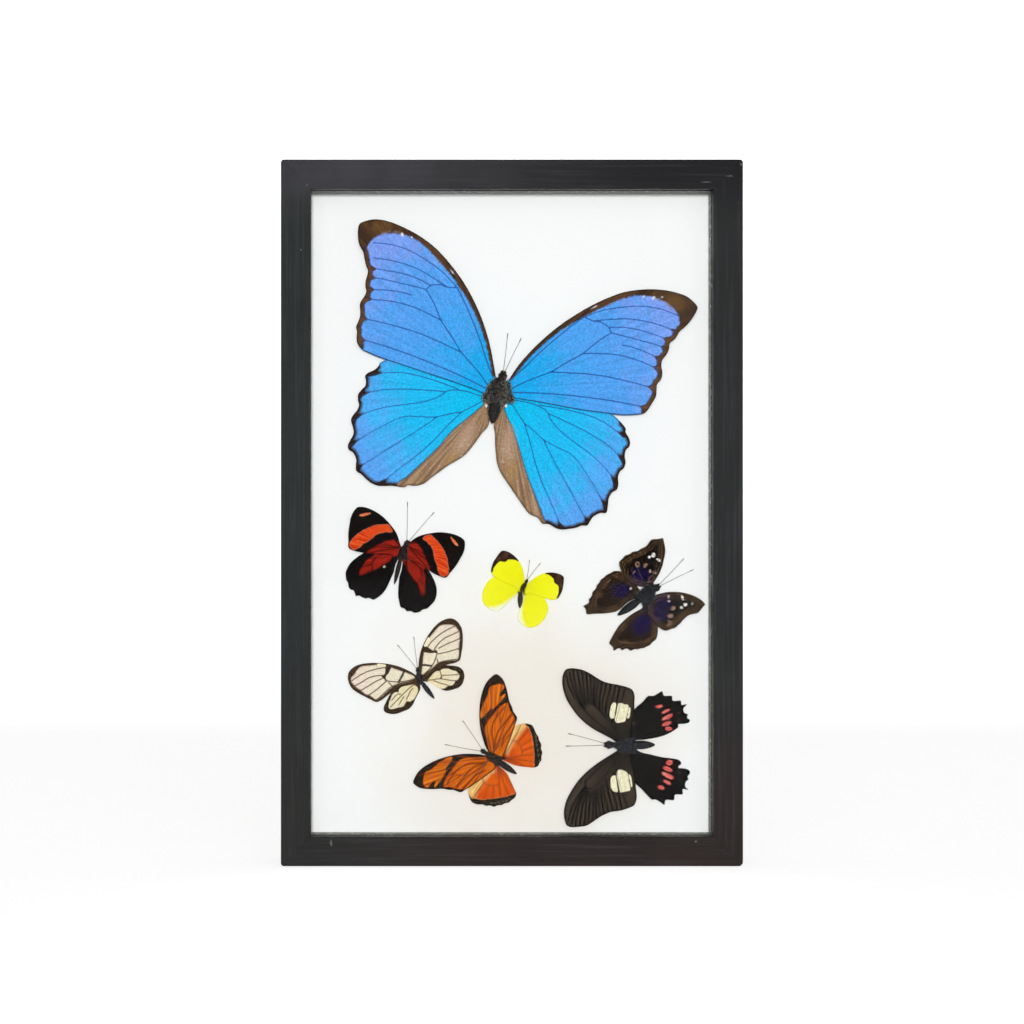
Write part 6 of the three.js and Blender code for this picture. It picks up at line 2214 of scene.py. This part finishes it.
@dataclass(frozen=True)
class Studio:
    """A white sweep, soft lights and the camera."""

    camera_place: tuple[float, float, float] = (-0.059, -0.8575, 0.130)
    lens: float = 80.82
    shift: Point = (0.1567, 0.0008)
    world: float = 0.14
    target: tuple[float, float, float] = (0.0, 0.0, 0.13)
    power: float = 1.7
    sun_angle: float = 0.14

    def sweep(self) -> None:
        """Make the pale floor that curves up into a backdrop."""
        profile = trace("-3.5 0, 0.5 0")
        bend = np.linspace(0.1, math.pi / 2, 16)
        profile += [(0.5 + 0.5 * math.sin(a), 0.5 - 0.5 * math.cos(a)) for a in bend]
        profile.append((1.0, 3.0))
        points = [(x, y, z) for y, z in profile for x in (-4.0, 4.0)]
        faces = [[2 * k, 2 * k + 1, 2 * k + 3, 2 * k + 2] for k in range(len(profile) - 1)]
        s = Shader("white_sweep_paper")
        tint = s.mix(s.noise(60, 3), (0.92, 0.92, 0.92), (0.95, 0.95, 0.95))
        paper = s.finish(s.principled(
            Base_Color=tint, Roughness=0.9, Emission_Color=(1.0, 1.0, 1.0), Emission_Strength=0.7))
        paper.cycles.emission_sampling = "NONE"
        sweep = make_object("white_sweep", points, faces, paper)
        shade_smooth(sweep.data)
        sweep.visible_diffuse = False
        sweep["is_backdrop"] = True

    def light(self, name: str, place: tuple[float, float, float], size: float) -> None:
        """Hang one soft square light that faces the frame."""
        lamp = bpy.data.lights.new(name, "AREA")
        lamp.size, lamp.energy = size, self.power
        made = new_object(name, lamp)
        made.location = place
        made.rotation_euler = (Vector(self.target) - Vector(place)).to_track_quat("-Z", "Y").to_euler()

    def wide(self, name: str, aim: tuple[float, float, float], power: float) -> None:
        """Add wide soft light, as from a bright wall; it isn't mirrored in the glass."""
        lamp = bpy.data.lights.new(name, "SUN")
        lamp.angle, lamp.energy = self.sun_angle, power
        made = new_object(name, lamp)
        made.rotation_euler = Vector(aim).to_track_quat("-Z", "Y").to_euler()
        made.visible_glossy = False

    def build(self) -> None:
        """Set up the sweep, the lights and the camera."""
        self.sweep()
        scene = bpy.context.scene
        world = bpy.data.worlds.new("soft_room")
        world.use_nodes = True
        background = world.node_tree.nodes["Background"]
        background.inputs[0].default_value = (1.0, 1.0, 1.0, 1.0)
        background.inputs[1].default_value = self.world
        scene.world = world
        self.light("soft_left", (-0.5, -1.36, 0.28), 0.55)
        self.light("soft_right", (0.66, -1.36, 0.22), 0.6)
        self.light("soft_top", (0.05, -1.3, 0.86), 0.6)
        self.wide("soft_front", (0.03, 1.0, -0.075), 2.36)
        self.wide("soft_back", (-0.2, -1.0, -0.4), 1.6)
        camera = bpy.data.cameras.new("camera")
        camera.lens, camera.sensor_width = self.lens, 36.0
        camera.shift_x, camera.shift_y = self.shift
        made = new_object("camera", camera)
        made.location = self.camera_place
        made.rotation_euler = (math.pi / 2, 0.0, 0.0)
        scene.camera = made
        scene.view_settings.view_transform = "Standard"


def box_numbers() -> list[list[float]]:
    """Give the shown object's lowest and highest corner."""
    bpy.context.view_layer.update()
    return [[float(c) for c in corner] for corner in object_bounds()]


def clear_start() -> None:
    """Remove the objects that a new file begins with."""
    for name in ("Cube", "Light", "Camera"):
        found = bpy.data.objects.get(name)
        if found is not None:
            bpy.data.objects.remove(found)


def main() -> None:
    """Build the frame and all it holds, part by part."""
    logging.basicConfig(level=logging.INFO, format="%(message)s")
    clear_start()
    sizes = {"first": box_numbers()}
    Studio().build()
    paint = BlackPaint().build()
    f = FrameSizes()
    for turn, (side, length) in enumerate([("bottom", f.width), ("right", f.height),
                                           ("top", f.width), ("left", f.height)]):
        Rail(side, turn, length, f).build(paint)
    Filling().build()
    RetainingPoints().build()
    tubes, fur, eye = tube_tree(), fur_tree(), Eye().build()
    Hanger().build(tubes)
    for species in all_species():
        species.build(tubes, fur, eye)
    sizes["last"] = box_numbers()


if __name__ == "__main__":
    main()
